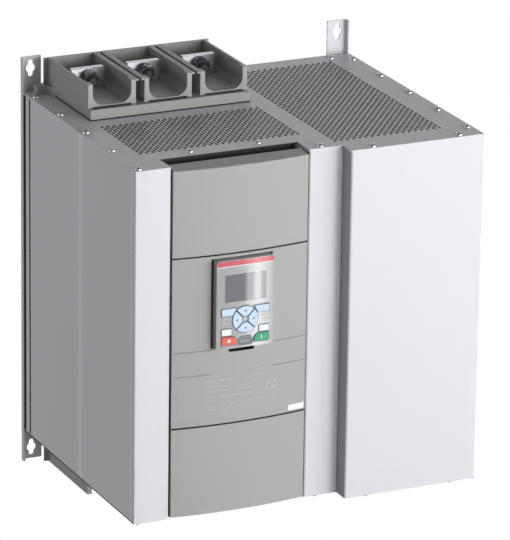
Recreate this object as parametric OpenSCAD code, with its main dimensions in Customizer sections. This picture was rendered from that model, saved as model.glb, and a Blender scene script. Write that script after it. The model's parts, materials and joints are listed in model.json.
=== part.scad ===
// Wall-mounted three-phase soft starter with a detachable keypad.
// Lengths are in millimetres. The modules work from the front left bottom corner of the body
// (X to the right, Y to the back, Z up), and in_frame() moves that corner so that the origin lies
// on the wall plane, midway between the four keyholes.

/* [Body] */
// Width of the sheet metal body
body_w = 433; // [425:1:445]
// Height of the sheet metal body, without the lugs
body_h = 430; // [415:1:450]
// Depth from the front strips to the wall
body_d = 344; // [338:1:356]
// Thickness of the folded sheets
sheet = 1.5; // [1.2:0.1:2]
// Centre-line radius of the folds
bend_r = 2.2; // [1.6:0.1:3]
// Width of the folded edges that take the cover screws
edge_flange = 16; // [14:0.5:18]
// Distance of the crease in the left side from the front
crease_y = 160.5; // [120:0.5:200]
// Width of the crease
crease_w = 1; // [0.6:0.1:2]
// Depth of the crease
crease_depth = 0.4; // [0.2:0.1:0.6]

/* [Front] */
// Width of the left front strip
left_strip_w = 43.8; // [42:0.1:46]
// Width of the three plastic covers
cover_w = 171.2; // [168:0.1:174]
// Gap between the plastic covers and the strips
front_gap = 1.6; // [1:0.1:2.5]
// Width of the centre front strip
centre_strip_w = 42.6; // [40:0.1:45]
// How far the right module stands in front of the strips
module_step = 23.3; // [18:0.1:28]
// Depth of the cable notch in the top and bottom covers
notch_d = 32; // [30:0.5:34]

/* [Plastic covers] */
// Wall of the plastic covers
cover_wall = 2.5; // [2:0.1:3]
// Height of the bow of the covers over their width
cover_bow = 6.5; // [4:0.1:9]
// How far the covers' edges stand in front of the strips
cover_proud = 2.2; // [1:0.1:3]
// Height of the lower cover
lower_cover_h = 109.3; // [95:0.1:120]
// Height of the upper cover
upper_cover_h = 107.5; // [95:0.1:109]
// Gap between one cover and the next
cover_gap = 1.5; // [1:0.1:2]
// Gap above the upper cover and below the lower cover
cover_end_gap = 2; // [1:0.1:3]
// Depth of the upper cover's top face, from the strips back
cover_top_d = 16; // [12:0.5:20]
// Distance from the upper groove line to the lower one in the middle cover
groove_pitch = 29.8; // [24:0.1:36]
// Distance of the upper groove line below the keypad
groove_drop = 2.2; // [1.5:0.1:3]
// Width of a groove line
groove_w = 0.8; // [0.5:0.1:1.2]
// Depth of a groove line
groove_depth = 0.6; // [0.3:0.1:1]
// Gap behind the upper cover, which comes off
cover_seat_fit = 0.3; // [0.2:0.05:0.5]

/* [Keypad] */
// Width of the keypad
keypad_w = 73; // [71:0.1:75]
// Height of the keypad
keypad_h = 107.5; // [104:0.1:108]
// Distance of the keypad below the upper cover
keypad_drop = 6; // [5.5:0.1:7]
// How far the keypad's face stands in front of the strips
keypad_reach = 17.5; // [14:0.1:20]
// Depth of the keypad
keypad_depth = 26; // [24:0.1:27]
// Thickness of the keypad's face plate
face_t = 2; // [1.6:0.1:2.4]
// Wall of the keypad's housing
keypad_wall = 2; // [1.5:0.1:2.5]
// Corner radius of the keypad
keypad_corner = 3; // [1:0.1:5]
// Gap around the keypad in its pocket
keypad_fit = 0.6; // [0.4:0.1:0.8]
// Wall of the pocket in the middle cover
pocket_wall = 2; // [1.5:0.1:2.2]
// Width of the finger notch below the keypad
finger_w = 32; // [24:0.5:40]
// Height of the finger notch below the keypad
finger_h = 7.5; // [6:0.1:9]
// Distance of the keypad's circuit board behind its face
keypad_board_set = 8; // [7.5:0.1:10]
// Thickness of the circuit boards
board_t = 1.6; // [1:0.1:2]

/* [Keys] */
// Travel of a key
key_travel = 0.8; // [0.5:0.1:1]
// Gap around a key in its hole
key_fit = 0.3; // [0.2:0.05:0.35]
// How far a key stands in front of the face
key_proud = 1.2; // [1:0.1:2]
// Thickness of a key's cap
key_cap = 4.5; // [4:0.1:5]
// Radius of a key's stem
key_stem_r = 2; // [1.5:0.1:2.4]
// Outer radius of the ring of arrow keys
ring_r = 16; // [14:0.1:16.5]
// Radius of the hub in the ring
hub_r = 4.2; // [3.5:0.1:5]
// Gap between two arrow keys
ring_gap = 1.6; // [1.4:0.1:2.2]
// Height of the ring's centre in the keypad
ring_z = 34.3; // [33.5:0.1:34.8]
// Distance of the keys' outer edge from the keypad's centre line
key_outer_x = 30; // [29:0.1:32]
// Width of the display window
window_w = 52; // [48:0.1:56]
// Height of the display window
window_h = 33.5; // [30:0.1:36]
// Height of the display window's lower edge in the keypad
window_z = 56.7; // [54:0.1:58]
// Width of the flap over the service port
flap_w = 18; // [16:0.1:19]
// Height of the flap over the service port
flap_h = 11; // [10:0.1:11.5]
// Height of the flap's lower edge in the keypad
flap_z = 3; // [2:0.1:3.5]
// Corner radius at the flap's top
flap_r = 5; // [3:0.1:6]
// Width of the service port
port_w = 8.4; // [7:0.1:10]
// Height of the service port
port_h = 4; // [3:0.1:5]
// Wall of the service port
port_wall = 0.5; // [0.4:0.1:0.8]

/* [Terminals] */
// Distance from one phase to the next
phase_pitch = 72; // [70:0.5:74]
// Distance of the first trough from the body's left edge
shroud_x = 29; // [27:0.5:30]
// Width of one terminal trough
trough_w = 61; // [58:0.5:63]
// Wall of a trough
trough_wall = 3; // [2:0.1:3.5]
// Width of the lip at a trough's mouth
lip_w = 6; // [5:0.1:8]
// Depth of the lip at a trough's mouth
lip_d = 13; // [8:0.5:18]
// Depth of the shroud's base
shroud_d = 132.5; // [126:0.5:136]
// How far the troughs stand behind the base's front
trough_setback = 8.2; // [6:0.1:12]
// Distance of the shroud's back from the wall
shroud_rear_gap = 15; // [12:0.5:18]
// Reach of the shroud's rear wall past its sides
shroud_rear_over = 5; // [3:0.5:6]
// Height of the shroud's base
slab_h = 13; // [11:0.1:15]
// Height of the troughs over the base
trough_h = 29; // [28:0.1:34]
// Thickness of a trough's floor
trough_floor = 2.5; // [2:0.1:4]
// Corner radius of a trough's mouth
mouth_r = 14; // [8:0.5:18]
// Corner radius inside a trough
trough_r = 8; // [4:0.5:12]
// Height of the shadow line under a mouth
shadow_h = 1.5; // [1:0.1:2]
// Depth of the shadow line under a mouth
shadow_d = 5; // [3:0.1:8]
// Reach of the shroud's side ears
ear_w = 17.5; // [14:0.5:18]
// Depth of the shroud's side ears
ear_d = 11; // [8:0.5:14]
// Height of the shroud's side ears
ear_h = 11; // [8:0.5:13]
// Width of a terminal bar
bar_w = 42; // [38:0.5:44]
// Thickness of a terminal bar
bar_t = 8; // [6:0.5:9]
// Distance of a terminal bar's front from the shroud's back
bar_setback = 52; // [48:0.5:56]
// Height of a bar's end below the trough's top
bar_drop = 2.5; // [1:0.1:4]
// Gap around a bar in the shroud
bar_fit = 1; // [0.5:0.1:2]
// Height of a bar's bolt over the body
bolt_z = 27.5; // [27:0.1:28.5]
// Shank radius of a terminal bolt
bolt_r = 6; // [5:0.1:6.5]
// Gap around a bolt in a bar
bolt_fit = 0.6; // [0.3:0.1:1]
// Width across the flats of a bolt head and nut
bolt_flats = 18; // [17:0.1:19]
// Height of a bolt head
bolt_head_h = 7.5; // [6:0.1:9]
// Height of a nut over its flange
nut_h = 10; // [8:0.1:12]
// Flange radius of a nut
nut_flange_r = 11; // [10:0.1:11.3]
// Flange thickness of a nut
nut_flange_t = 2.5; // [2:0.1:3]
// How far a bolt stands out of its nut
bolt_over = 6; // [3:0.1:8]

/* [Mounting] */
// Thickness of the mounting rails and the rear panel
plate_t = 2; // [1.6:0.1:2.5]
// Width of a mounting rail
rail_w = 26.5; // [25:0.1:28]
// Depth of a mounting rail's outer flange
rail_flange = 10; // [8:0.1:12]
// Reach of the lugs above and below the body
lug_h = 41.5; // [38:0.1:48]
// Radius of a keyhole's middle
keyhole_r = 6; // [5.5:0.1:7]
// Width of a keyhole's slot
keyslot_w = 6.5; // [6:0.1:8]
// Length of a keyhole's slot from end to end
keyslot_l = 21; // [18:0.1:24]
// Distance of the keyholes from the body's side
keyhole_x = 13; // [12.5:0.1:14]
// Distance of the keyholes from the lug's end
keyhole_z = 14.5; // [13:0.1:18]
// Distance of the side panels' rear edge from the wall
rear_zone = 30; // [28:0.5:34]
// Depth of the rear posts' outer face
post_d = 14; // [12:0.5:16]
// Distance of the rear posts' web from the side
post_web_x = 8; // [7:0.5:12]
// Reach of the rear posts' foot over the rear panel
post_foot_x = 45; // [40:0.5:60]
// Depth of the rear panel's top and bottom flanges
rear_flange = 30; // [27:0.5:34]

/* [Vents and screws] */
// Diameter of a vent hole
vent_d = 17; // [12:0.5:18]
// Distance from one vent hole to the next
vent_pitch = 27; // [25:0.5:36]
// Distance of the left vent field from the front strips
vent_left_y = 54; // [53:0.5:70]
// Distance of the left vent field from the shroud
vent_left_gap = 19.5; // [10:0.5:40]
// How far the right vent field reaches left past the module's edge
vent_right_over = 7; // [4:0.5:10]
// Distance of the right vent field from the body's right edge
vent_right_margin = 33; // [30:0.5:45]
// Distance of the right vent field from the front strips
vent_right_y = 18; // [17:0.5:40]
// Head radius of a cover screw
screw_head_r = 4.5; // [4:0.1:5]
// Head height of a cover screw
screw_head_h = 3; // [2:0.1:3.6]
// Shank radius of a cover screw
screw_r = 2.1; // [1.5:0.1:2.5]
// Gap around a cover screw's shank
screw_fit = 0.3; // [0.2:0.1:0.5]
// Length of a cover screw's shank
screw_l = 8; // [5:0.5:10]
// Distance of the last edge screw from the side panel's rear edge
screw_last = 4.5; // [4:0.1:6]
// Distance of the first edge screw from the front strips
screw_first = 7.5; // [7:0.1:10]
// Distance of the screws from the edges
screw_inset = 7; // [6:0.1:8]
// Distance of the front frame's screws from the covers' centre line
frame_screw_x = 43; // [36:0.5:60]
// Distance of the front frame's screws from the frame
frame_screw_y = 13; // [10:0.5:15]
// Distance of the centre strip's screw from the strip's left edge
strip_screw_x = 17; // [14:0.5:28]
// Distance of the module's left screw from the module's left edge
module_screw_x = 30; // [20:0.5:40]
// Distance of the module's right screw and the rear screw from the body's right edge
right_screw_x = 30; // [26:0.5:40]
// Distance of the rear screw from the wall
rear_screw_y = 20; // [16:0.5:23]

/* [Power section] */
// Width of a heat sink
sink_w = 66; // [60:0.5:69]
// Distance of the heat sinks' front from the front strips
sink_front = 55; // [54:0.5:65]
// Height of a heat sink over and under mid height
sink_half_h = 140; // [130:0.5:150]
// Thickness of a heat sink's base
sink_base = 15; // [12:0.5:20]
// Thickness of a cooling fin
fin_t = 3; // [2:0.1:4]
// Number of cooling fins on a heat sink
fin_count = 9; // [6:1:10]
// Distance of the heat sinks' back from the terminal bars
sink_gap = 97; // [94:0.5:99]
// Depth of a thyristor module
thyristor_d = 40; // [36:0.5:42]
// Width of a thyristor module
thyristor_w = 56; // [50:0.5:60]
// Half height of a thyristor module
thyristor_half_h = 90; // [85:0.5:95]
// Height of the thyristor modules' clamp ribs
clamp_h = 24; // [16:0.5:30]
// Depth of the thyristor modules' clamp ribs
clamp_d = 6; // [4:0.5:8]
// Distance of the bars' bend from the body's end
jog_drop = 55; // [53:0.5:60]
// Distance of the bars' inner end from mid height
bar_end_z = 40; // [30:0.5:60]
// Depth of the support rails
support_d = 12; // [10:0.5:16]
// Height of the support rails
support_h = 22; // [16:0.5:26]
// Distance of the support rails from mid height
support_z = 114; // [112:0.5:116]
// Outer width of a current transformer
ct_w = 68; // [64:0.5:69]
// Outer depth of a current transformer
ct_d = 40; // [34:0.5:44]
// Height of a current transformer
ct_h = 28; // [24:0.5:30]
// Gap between the current transformers and the bypass links
ct_gap = 2.5; // [1.5:0.5:4]

/* [Fans] */
// Side of a fan frame
fan_side = 119; // [110:0.5:119.5]
// Height of a fan frame
fan_h = 38; // [32:0.5:40]
// Wall between a fan's bore and its side
fan_rim = 2.5; // [2:0.1:4]
// Radius of a fan rotor's hub
fan_hub_r = 20; // [16:0.5:24]
// Gap between the blade tips and the frame
fan_tip_gap = 1.5; // [1:0.1:3]
// Thickness of a fan blade
blade_t = 2.5; // [1.5:0.1:3]
// Pitch angle of a fan blade
blade_pitch = 38; // [30:1:45]
// Number of fan blades
blade_count = 7; // [5:1:9]
// Radius of a fan's shaft
fan_shaft_r = 3; // [2.5:0.1:4]
// Running clearance around a fan's shaft
shaft_fit = 0.06; // [0.04:0.01:0.08]
// Height of a fan's spider under the rotor
spider_h = 5; // [4:0.1:7]
// Gap between a rotor and its spider
rotor_gap = 0.6; // [0.4:0.1:1]
// Distance of the fans from the front strips
fan_y = 58; // [56:0.5:60]

/* [Bypass contactor] */
// Distance of the contactor from the module's side walls
contactor_inset = 21; // [18:0.5:24]
// Depth of the contactor
contactor_d = 150; // [140:0.5:160]
// Half height of the contactor
contactor_half_h = 118; // [116.5:0.5:125]
// Wall of the contactor
contactor_wall = 8; // [6:0.5:10]
// Gap between the contactor's coil and its side walls
coil_gap = 22; // [16:0.5:26]
// Length of the contactor's coil
coil_l = 40; // [35:0.5:45]
// Radius of the coil's core
core_r = 14; // [10:0.5:18]
// Travel of the contact carrier
carrier_travel = 8; // [5:0.5:10]
// Gap around the contact carrier
carrier_fit = 0.3; // [0.2:0.05:0.4]
// Depth of the contact carrier
carrier_d = 70; // [60:0.5:75]
// Width of a bypass link
link_w = 10; // [8:0.5:11]
// Thickness of a bypass link
link_t = 6; // [4:0.5:8]
// Clear height of a bypass link over the bars
link_rise = 9; // [7:0.5:11]
// Distance from one bypass link to the next
link_pitch = 14; // [12:0.5:14.5]
// Distance of the outer contactor terminals from the contactor's sides
link_inset = 23; // [18:0.5:26]

/* [Control] */
// Height of the bosses between the front frame and the control board
boss_l = 11.4; // [10:0.1:12]
// Radius of a boss
boss_r = 4; // [3:0.1:5]
// Gap between the control board and the sides of the covers
board_margin = 16; // [12:0.5:20]
// Height of the control board's lower edge
board_z = 120; // [100:0.5:140]
// Distance of the control board's upper edge from the top
board_drop = 38; // [36:0.5:48]
// Height of the control terminal strip
strip_h = 22; // [16:0.5:26]
// Depth of the control terminal strip
strip_d = 14; // [10:0.5:16]
// Number of ways in the control terminal strip
strip_ways = 22; // [16:1:26]

/* [Hidden] */

// Colours
painted_grey = "#b9babf";
strip_grey = "#dcdde2";
zinc = "#c9ccd0";
cover_grey = "#b2b3ae";
shroud_grey = "#8c8e88";
dark_plastic = "#4c504d";
copper = "#b87333";
tinned = "#c4c6c8";
aluminium = "#c2c5c9";
board_green = "#2f6b46";
face_grey = "#c6c8c7";
key_blue = "#cfe2fb";
key_white = "#f2f2f4";

// Overlap that keeps cuts clear of the faces they cut
over = 1;
mid_z = body_h / 2;
inner_top = body_h - sheet;
half_sheet = sheet / 2;

// Front layout
cover_x0 = left_strip_w + front_gap;
cover_x1 = cover_x0 + cover_w;
cover_cx = (cover_x0 + cover_x1) / 2;
centre_x0 = cover_x1 + front_gap;
module_x0 = centre_x0 + centre_strip_w;
frame_y = notch_d + 1;
frame_flange = 14;
strip_return = frame_y + frame_flange + 2;

// Back layout
post_front = body_d - rear_zone;
post_back = post_front + post_d;
rail_face = body_d - plate_t;
cover_back = body_d - rail_flange - 0.3;

// Plastic covers
bow_r = cover_w * cover_w / (8 * cover_bow) + cover_bow / 2;
bow_cy = bow_r - cover_bow - cover_proud;
middle_z0 = cover_end_gap + lower_cover_h + cover_gap;
middle_z1 = body_h - cover_end_gap - upper_cover_h - cover_gap;

// Keypad, measured from its lower edge's middle
keypad_cx = cover_cx;
keypad_z = middle_z1 + cover_gap - keypad_drop - keypad_h;
groove_high_z = keypad_z - groove_drop;
groove_low_z = groove_high_z - groove_pitch;
face_y = -keypad_reach;
face_back = face_y + face_t;
keypad_back = face_y + keypad_depth;
pocket_floor = keypad_back + cover_seat_fit;
keypad_board_y = face_back + keypad_board_set;
cap_back = face_y - key_proud + key_cap;
stem_back = keypad_board_y - key_travel - 0.3;
soft_z0 = 40.8;
soft_z1 = 49.4;
soft_inner_top = 11.3;
soft_inner_low = 16.3;
small_key_w = 12.5;
small_z0 = 17;
small_z1 = 24.6;
run_key_w = 19;
run_z0 = 5.3;
run_z1 = 15;
run_r = 7;
flap_pivot_z = flap_z + face_t / 2;

// Phases and terminals
phases = [0, 1, 2];
function phase_x(i) = shroud_x + trough_w / 2 + i * phase_pitch;
shroud_w = 2 * phase_pitch + trough_w;
shroud_back = body_d - shroud_rear_gap;
shroud_front = shroud_back - shroud_d;
bar_y = shroud_back - bar_setback;
sink_back = bar_y - sink_gap;
sink_d = sink_back - sink_front;
trough_front = shroud_front + trough_setback;
floor_z = slab_h + trough_floor;
trough_top = slab_h + trough_h;
bar_top = body_h + trough_top - bar_drop;
bar_cy = bar_y + bar_t / 2;
thyristor_back = sink_back + thyristor_d;
inner_cy = thyristor_back + bar_t / 2;
link_foot_z = body_h - jog_drop + bar_t / 2;

// Cover screws: [x, y] of each row on the top cover
screw_pitch = (post_front - screw_first - screw_last) / 4;
edge_screw_y = [for (i = [0 : 4]) screw_first + i * screw_pitch];
left_screws = [for (y = edge_screw_y) [screw_inset, y]];
right_screws = [for (y = edge_screw_y) [body_w - screw_inset, y]];
frame_screws = [for (side = [-1, 1]) [cover_cx + side * frame_screw_x, frame_y + frame_screw_y]];
strip_screws = [[centre_x0 + strip_screw_x, screw_inset]];
module_screw_places = [module_x0 + module_screw_x, body_w - right_screw_x];
module_screws = [for (x = module_screw_places) [x, screw_inset - module_step]];
rear_screws = [[body_w - right_screw_x, body_d - rear_screw_y]];
all_screws = concat(left_screws, right_screws, frame_screws, strip_screws, module_screws, rear_screws);

// Control
board_back = frame_y - boss_l;
board_front = board_back - board_t;
board_top = body_h - board_drop;

// Fans
fan_x0 = edge_flange + 1.5;
fan_bore_r = fan_side / 2 - fan_rim;
blade_r = fan_bore_r - fan_tip_gap;
rotor_z0 = spider_h + rotor_gap;
rotor_h = fan_h - rotor_z0 - 2;

// Contactor
contactor_x0 = module_x0 + contactor_inset;
contactor_w = body_w - module_x0 - 2 * contactor_inset;
coil_r = contactor_w / 2 - contactor_wall - coil_gap;
link_turn = contactor_w / 2 - link_inset;
contactor_y0 = sink_back - contactor_d;
contactor_cx = contactor_x0 + contactor_w / 2;
coil_front = sink_back - contactor_wall - coil_l;
carrier_back = coil_front - carrier_travel - carrier_fit;

// Moves the build corner so that the origin lies on the wall plane at the keyholes' middle
module in_frame() {
    translate([-body_w / 2, -body_d, -body_h / 2]) children();
}

// Box between two opposite corners
module block(low, high) {
    translate(low) cube(high - low);
}

// Mirror image of the top at the bottom
module at_bottom() {
    translate([0, 0, body_h]) mirror([0, 0, 1]) children();
}

// The same shape at the top and at the bottom
module at_both_ends() {
    children();
    at_bottom() children();
}

// Mirror image of the left side at the right
module at_right() {
    translate([body_w, 0, 0]) mirror([1, 0, 0]) children();
}

// Stands a drawing of (y, z) points up and extrudes it along X from x0 to x1
module along_x(x0, x1) {
    translate([x0, 0, 0]) rotate([90, 0, 90]) linear_extrude(x1 - x0) children();
}

// Stands a drawing of (x, z) points up and extrudes it along Y from y0 to y1
module along_y(y0, y1) {
    translate([0, y1, 0]) rotate([90, 0, 0]) linear_extrude(y1 - y0) children();
}

function heading(a, b) = (b - a) / norm(b - a);
function low_corner(a, b) = [min(a.x, b.x), min(a.y, b.y)];
function high_corner(a, b) = [max(a.x, b.x), max(a.y, b.y)];

// Straight stretch of a folded sheet's section
module section_strip(a, b, t) {
    d = heading(a, b);
    side = [abs(d.y), abs(d.x)] * t / 2;
    low = low_corner(a, b) - side;
    translate(low) square(high_corner(a, b) + side - low);
}

// Right-angled fold of a folded sheet's section, at corner p between two headings
module section_bend(p, d_in, d_out, t, r) {
    c = p + r * (d_out - d_in);
    far = c + (r + t) * (d_in - d_out);
    intersection() {
        translate(c) difference() {
            circle(r + t / 2, $fn = 48);
            circle(r - t / 2, $fn = 48);
        }
        translate(low_corner(c, far)) square([r + t, r + t]);
    }
}

// Section of a sheet of thickness t folded along a path, with folds of centre-line radius r
module folded_section(path, t, r) {
    last = len(path) - 1;
    for (i = [0 : last - 1]) {
        d = heading(path[i], path[i + 1]);
        a = i > 0 ? path[i] + r * d : path[i];
        b = i < last - 1 ? path[i + 1] - r * d : path[i + 1];
        section_strip(a, b, t);
    }
    for (i = [1 : last - 1]) {
        section_bend(path[i], heading(path[i - 1], path[i]), heading(path[i], path[i + 1]), t, r);
    }
}

// Rectangle with round corners
module round_rect(low, high, r) {
    translate(low + [r, 0]) square(high - low - [2 * r, 0]);
    translate(low + [0, r]) square(high - low - [0, 2 * r]);
    for (x = [low.x + r, high.x - r], y = [low.y + r, high.y - r]) {
        translate([x, y]) circle(r, $fn = 32);
    }
}

// Upright wall of the body: a folded sheet between the top and bottom covers
module upright_sheet(path) {
    translate([0, 0, sheet]) linear_extrude(body_h - 2 * sheet) folded_section(path, sheet, bend_r);
}

// Folded edge under a cover, between two corners
module screw_edge(low, high) {
    at_both_ends() block([low.x, low.y, inner_top - sheet], [high.x, high.y, inner_top]);
}

// Holes for the cover screws in the covers and in the edges under them
module screw_bores(places) {
    at_both_ends() for (p = places) {
        translate([p.x, p.y, body_h - screw_l - over]) {
            cylinder(r = screw_r + screw_fit, h = screw_l + 2 * over, $fn = 24);
        }
    }
}

module left_side_panel() {
    rear_y = post_front - half_sheet;
    in_frame() color(painted_grey) difference() {
        union() {
            upright_sheet([
                [edge_flange, rear_y],
                [half_sheet, rear_y],
                [half_sheet, half_sheet],
                [left_strip_w - half_sheet, half_sheet],
                [left_strip_w - half_sheet, strip_return]
            ]);
            screw_edge([half_sheet, half_sheet + bend_r], [edge_flange, post_front]);
        }
        screw_bores(left_screws);
        block([-over, crease_y - crease_w / 2, 0], [crease_depth, crease_y + crease_w / 2, body_h]);
    }
}

module centre_front_strip() {
    left = centre_x0 + half_sheet;
    right = module_x0 - half_sheet;
    in_frame() color(strip_grey) difference() {
        union() {
            upright_sheet([
                [left, strip_return],
                [left, half_sheet],
                [right, half_sheet],
                [right, edge_flange]
            ]);
            screw_edge([left, half_sheet], [right, edge_flange]);
        }
        screw_bores(strip_screws);
    }
}

module right_module_cover() {
    left = module_x0 + half_sheet;
    right = body_w - half_sheet;
    front = half_sheet - module_step;
    rear_y = post_front - half_sheet;
    in_frame() color(strip_grey) difference() {
        union() {
            upright_sheet([
                [left, edge_flange],
                [left, front],
                [right, front],
                [right, rear_y],
                [body_w - edge_flange, rear_y]
            ]);
            screw_edge([left + bend_r, front], [right - bend_r, front + edge_flange]);
            screw_edge([body_w - edge_flange, front + bend_r], [right, post_front]);
        }
        screw_bores(concat(right_screws, module_screws));
    }
}

// Staggered round holes that fill a field between two corners
module vent_field(low, high) {
    size = high - low;
    row_pitch = vent_pitch * sin(60);
    columns = floor((size.x - vent_d) / vent_pitch);
    rows = floor((size.y - vent_d) / row_pitch);
    start = low + (size - [columns * vent_pitch, rows * row_pitch]) / 2;
    for (row = [0 : rows], column = [0 : columns - row % 2]) {
        translate(start + [(column + row % 2 / 2) * vent_pitch, row * row_pitch]) {
            circle(d = vent_d, $fn = 24);
        }
    }
}

// Perforated end cover, drawn as the top one
module end_cover() {
    difference() {
        translate([0, 0, inner_top]) linear_extrude(sheet) difference() {
            union() {
                square([body_w, cover_back]);
                translate([module_x0, -module_step]) square([body_w - module_x0, module_step + over]);
            }
            translate([left_strip_w, -over]) square([centre_x0 - left_strip_w, notch_d + over]);
            vent_field(
                [shroud_x, vent_left_y],
                [shroud_x + shroud_w, shroud_front - vent_left_gap]
            );
            vent_field(
                [module_x0 - vent_right_over, vent_right_y],
                [body_w - vent_right_margin, post_front]
            );
            for (i = phases) {
                translate([phase_x(i) - bar_w / 2 - bar_fit, bar_y - bar_fit]) {
                    square([bar_w + 2 * bar_fit, bar_t + 2 * bar_fit]);
                }
            }
        }
        screw_bores(all_screws);
    }
}

module top_cover() {
    in_frame() color(painted_grey) end_cover();
}

module bottom_cover() {
    in_frame() color(painted_grey) at_bottom() end_cover();
}

// Pan head screw in the top cover, with its head on the cover's face
module cover_screw() {
    dome_r = (screw_head_r * screw_head_r + screw_head_h * screw_head_h) / (2 * screw_head_h);
    intersection() {
        translate([0, 0, screw_head_h - dome_r]) sphere(dome_r, $fn = 48);
        cylinder(r = screw_head_r, h = screw_head_h, $fn = 32);
    }
    translate([0, 0, -screw_l]) cylinder(r = screw_r, h = screw_l, $fn = 24);
}

module cover_screws() {
    in_frame() color(zinc) at_both_ends() for (p = all_screws) {
        translate([p.x, p.y, body_h]) cover_screw();
    }
}

module rear_panel() {
    flange_z = inner_top - plate_t / 2;
    web_y = body_d - plate_t / 2;
    flange_y = body_d - rear_flange;
    in_frame() color(painted_grey) difference() {
        along_x(rail_w, body_w - rail_w) folded_section([
            [flange_y, flange_z],
            [web_y, flange_z],
            [web_y, body_h - flange_z],
            [flange_y, body_h - flange_z]
        ], plate_t, bend_r);
        screw_bores(rear_screws);
    }
}

// Round keyhole with a slot above and below it
module keyhole() {
    circle(keyhole_r, $fn = 48);
    end = keyslot_l / 2 - keyslot_w / 2;
    translate([-keyslot_w / 2, -end]) square([keyslot_w, 2 * end]);
    for (z = [-end, end]) {
        translate([0, z]) circle(keyslot_w / 2, $fn = 32);
    }
}

// Angle section rail with a lug and a keyhole at each end, drawn as the left one
module mounting_rail() {
    wall_y = body_d - plate_t / 2;
    difference() {
        translate([0, 0, -lug_h]) linear_extrude(body_h + 2 * lug_h) folded_section([
            [plate_t / 2, body_d - rail_flange],
            [plate_t / 2, wall_y],
            [rail_w, wall_y]
        ], plate_t, bend_r);
        at_both_ends() along_y(rail_face - over, body_d + over) {
            translate([keyhole_x, body_h + lug_h - keyhole_z]) keyhole();
        }
    }
}

module left_mounting_rail() {
    in_frame() color(painted_grey) mounting_rail();
}

module right_mounting_rail() {
    in_frame() color(painted_grey) at_right() mounting_rail();
}

// Folded post between a side panel and its mounting rail, drawn as the left one
module rear_post() {
    upright_sheet([
        [edge_flange, post_front + half_sheet],
        [half_sheet, post_front + half_sheet],
        [half_sheet, post_back - half_sheet],
        [post_web_x, post_back - half_sheet],
        [post_web_x, rail_face - half_sheet],
        [post_foot_x, rail_face - half_sheet]
    ]);
}

// Room for the rear panel's flanges at the ends of a rear post
module rear_flange_room() {
    at_both_ends() block(
        [rail_w - over, body_d - rear_flange - over, inner_top - plate_t - bend_r],
        [post_foot_x + over, body_d, body_h]
    );
}

module left_rear_post() {
    in_frame() color(painted_grey) difference() {
        rear_post();
        rear_flange_room();
    }
}

module right_rear_post() {
    in_frame() color(painted_grey) at_right() difference() {
        rear_post();
        rear_flange_room();
    }
}

module front_frame() {
    left = left_strip_w + half_sheet;
    right = centre_x0 - half_sheet;
    plate_y = frame_y + half_sheet;
    in_frame() color(zinc) difference() {
        union() {
            upright_sheet([
                [left, frame_y + frame_flange],
                [left, plate_y],
                [right, plate_y],
                [right, frame_y + frame_flange]
            ]);
            screw_edge([left + bend_r, plate_y], [right - bend_r, frame_y + edge_flange + 4]);
            for (side = [-1, 1], z = [board_z + 12, mid_z, board_top - 30]) {
                translate([cover_cx + side * (cover_w / 2 - board_margin - 8), frame_y + half_sheet, z]) {
                    rotate([90, 0, 0]) cylinder(r = boss_r, h = boss_l + half_sheet, $fn = 32);
                }
            }
        }
        screw_bores(frame_screws);
    }
}

// Section of a bowed cover, moved in from its outside by inset and ending at back_y
module bowed_section(inset, back_y) {
    intersection() {
        translate([cover_cx, bow_cy]) circle(bow_r - inset, $fn = 240);
        translate([cover_x0 + inset, -bow_r]) square([cover_w - 2 * inset, bow_r + back_y]);
    }
}

// Bowed shell between two heights, open at the back
module bowed_shell(z0, z1, back_y) {
    translate([0, 0, z0]) linear_extrude(z1 - z0) difference() {
        bowed_section(0, back_y);
        bowed_section(cover_wall, back_y + over);
    }
}

// End cover of the plastic front, drawn as the upper one
module end_front_cover(z0, back_y) {
    z1 = body_h - cover_end_gap;
    bowed_shell(z0, z1, back_y);
    translate([0, 0, z1 - cover_wall]) linear_extrude(cover_wall) bowed_section(0, cover_top_d);
}

module upper_front_cover() {
    z0 = body_h - cover_end_gap - upper_cover_h;
    in_frame() color(cover_grey) end_front_cover(z0, frame_y - cover_seat_fit);
}

module lower_front_cover() {
    z0 = body_h - cover_end_gap - lower_cover_h;
    in_frame() color(cover_grey) at_bottom() end_front_cover(z0, frame_y);
}

// Fine line across a bowed cover
module groove(z) {
    translate([0, 0, z - groove_w / 2]) linear_extrude(groove_w) difference() {
        translate([cover_x0 - over, -bow_r]) square([cover_w + 2 * over, bow_r]);
        bowed_section(groove_depth, over);
    }
}

// Box around the keypad, grown by a margin, from y0 to y1
module keypad_box(margin, y0, y1) {
    block(
        [keypad_cx - keypad_w / 2 - margin, y0, keypad_z - margin],
        [keypad_cx + keypad_w / 2 + margin, y1, keypad_z + keypad_h + margin]
    );
}

module middle_front_cover() {
    in_frame() color(cover_grey) difference() {
        union() {
            bowed_shell(middle_z0, middle_z1, frame_y);
            intersection() {
                keypad_box(keypad_fit + pocket_wall, -bow_r, pocket_floor + pocket_wall);
                translate([0, 0, middle_z0]) linear_extrude(middle_z1 - middle_z0) {
                    bowed_section(0, frame_y);
                }
            }
        }
        keypad_box(keypad_fit, -bow_r, pocket_floor);
        block(
            [keypad_cx - finger_w / 2, -bow_r, keypad_z - finger_h],
            [keypad_cx + finger_w / 2, 0, keypad_z]
        );
        groove(groove_low_z);
        groove(groove_high_z);
    }
}

// Trough section with round lower corners, drawn from its middle, open upwards
module trough_section(w, r, z0) {
    round_rect([-w / 2, z0], [w / 2, trough_top + r + over], r);
}

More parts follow.
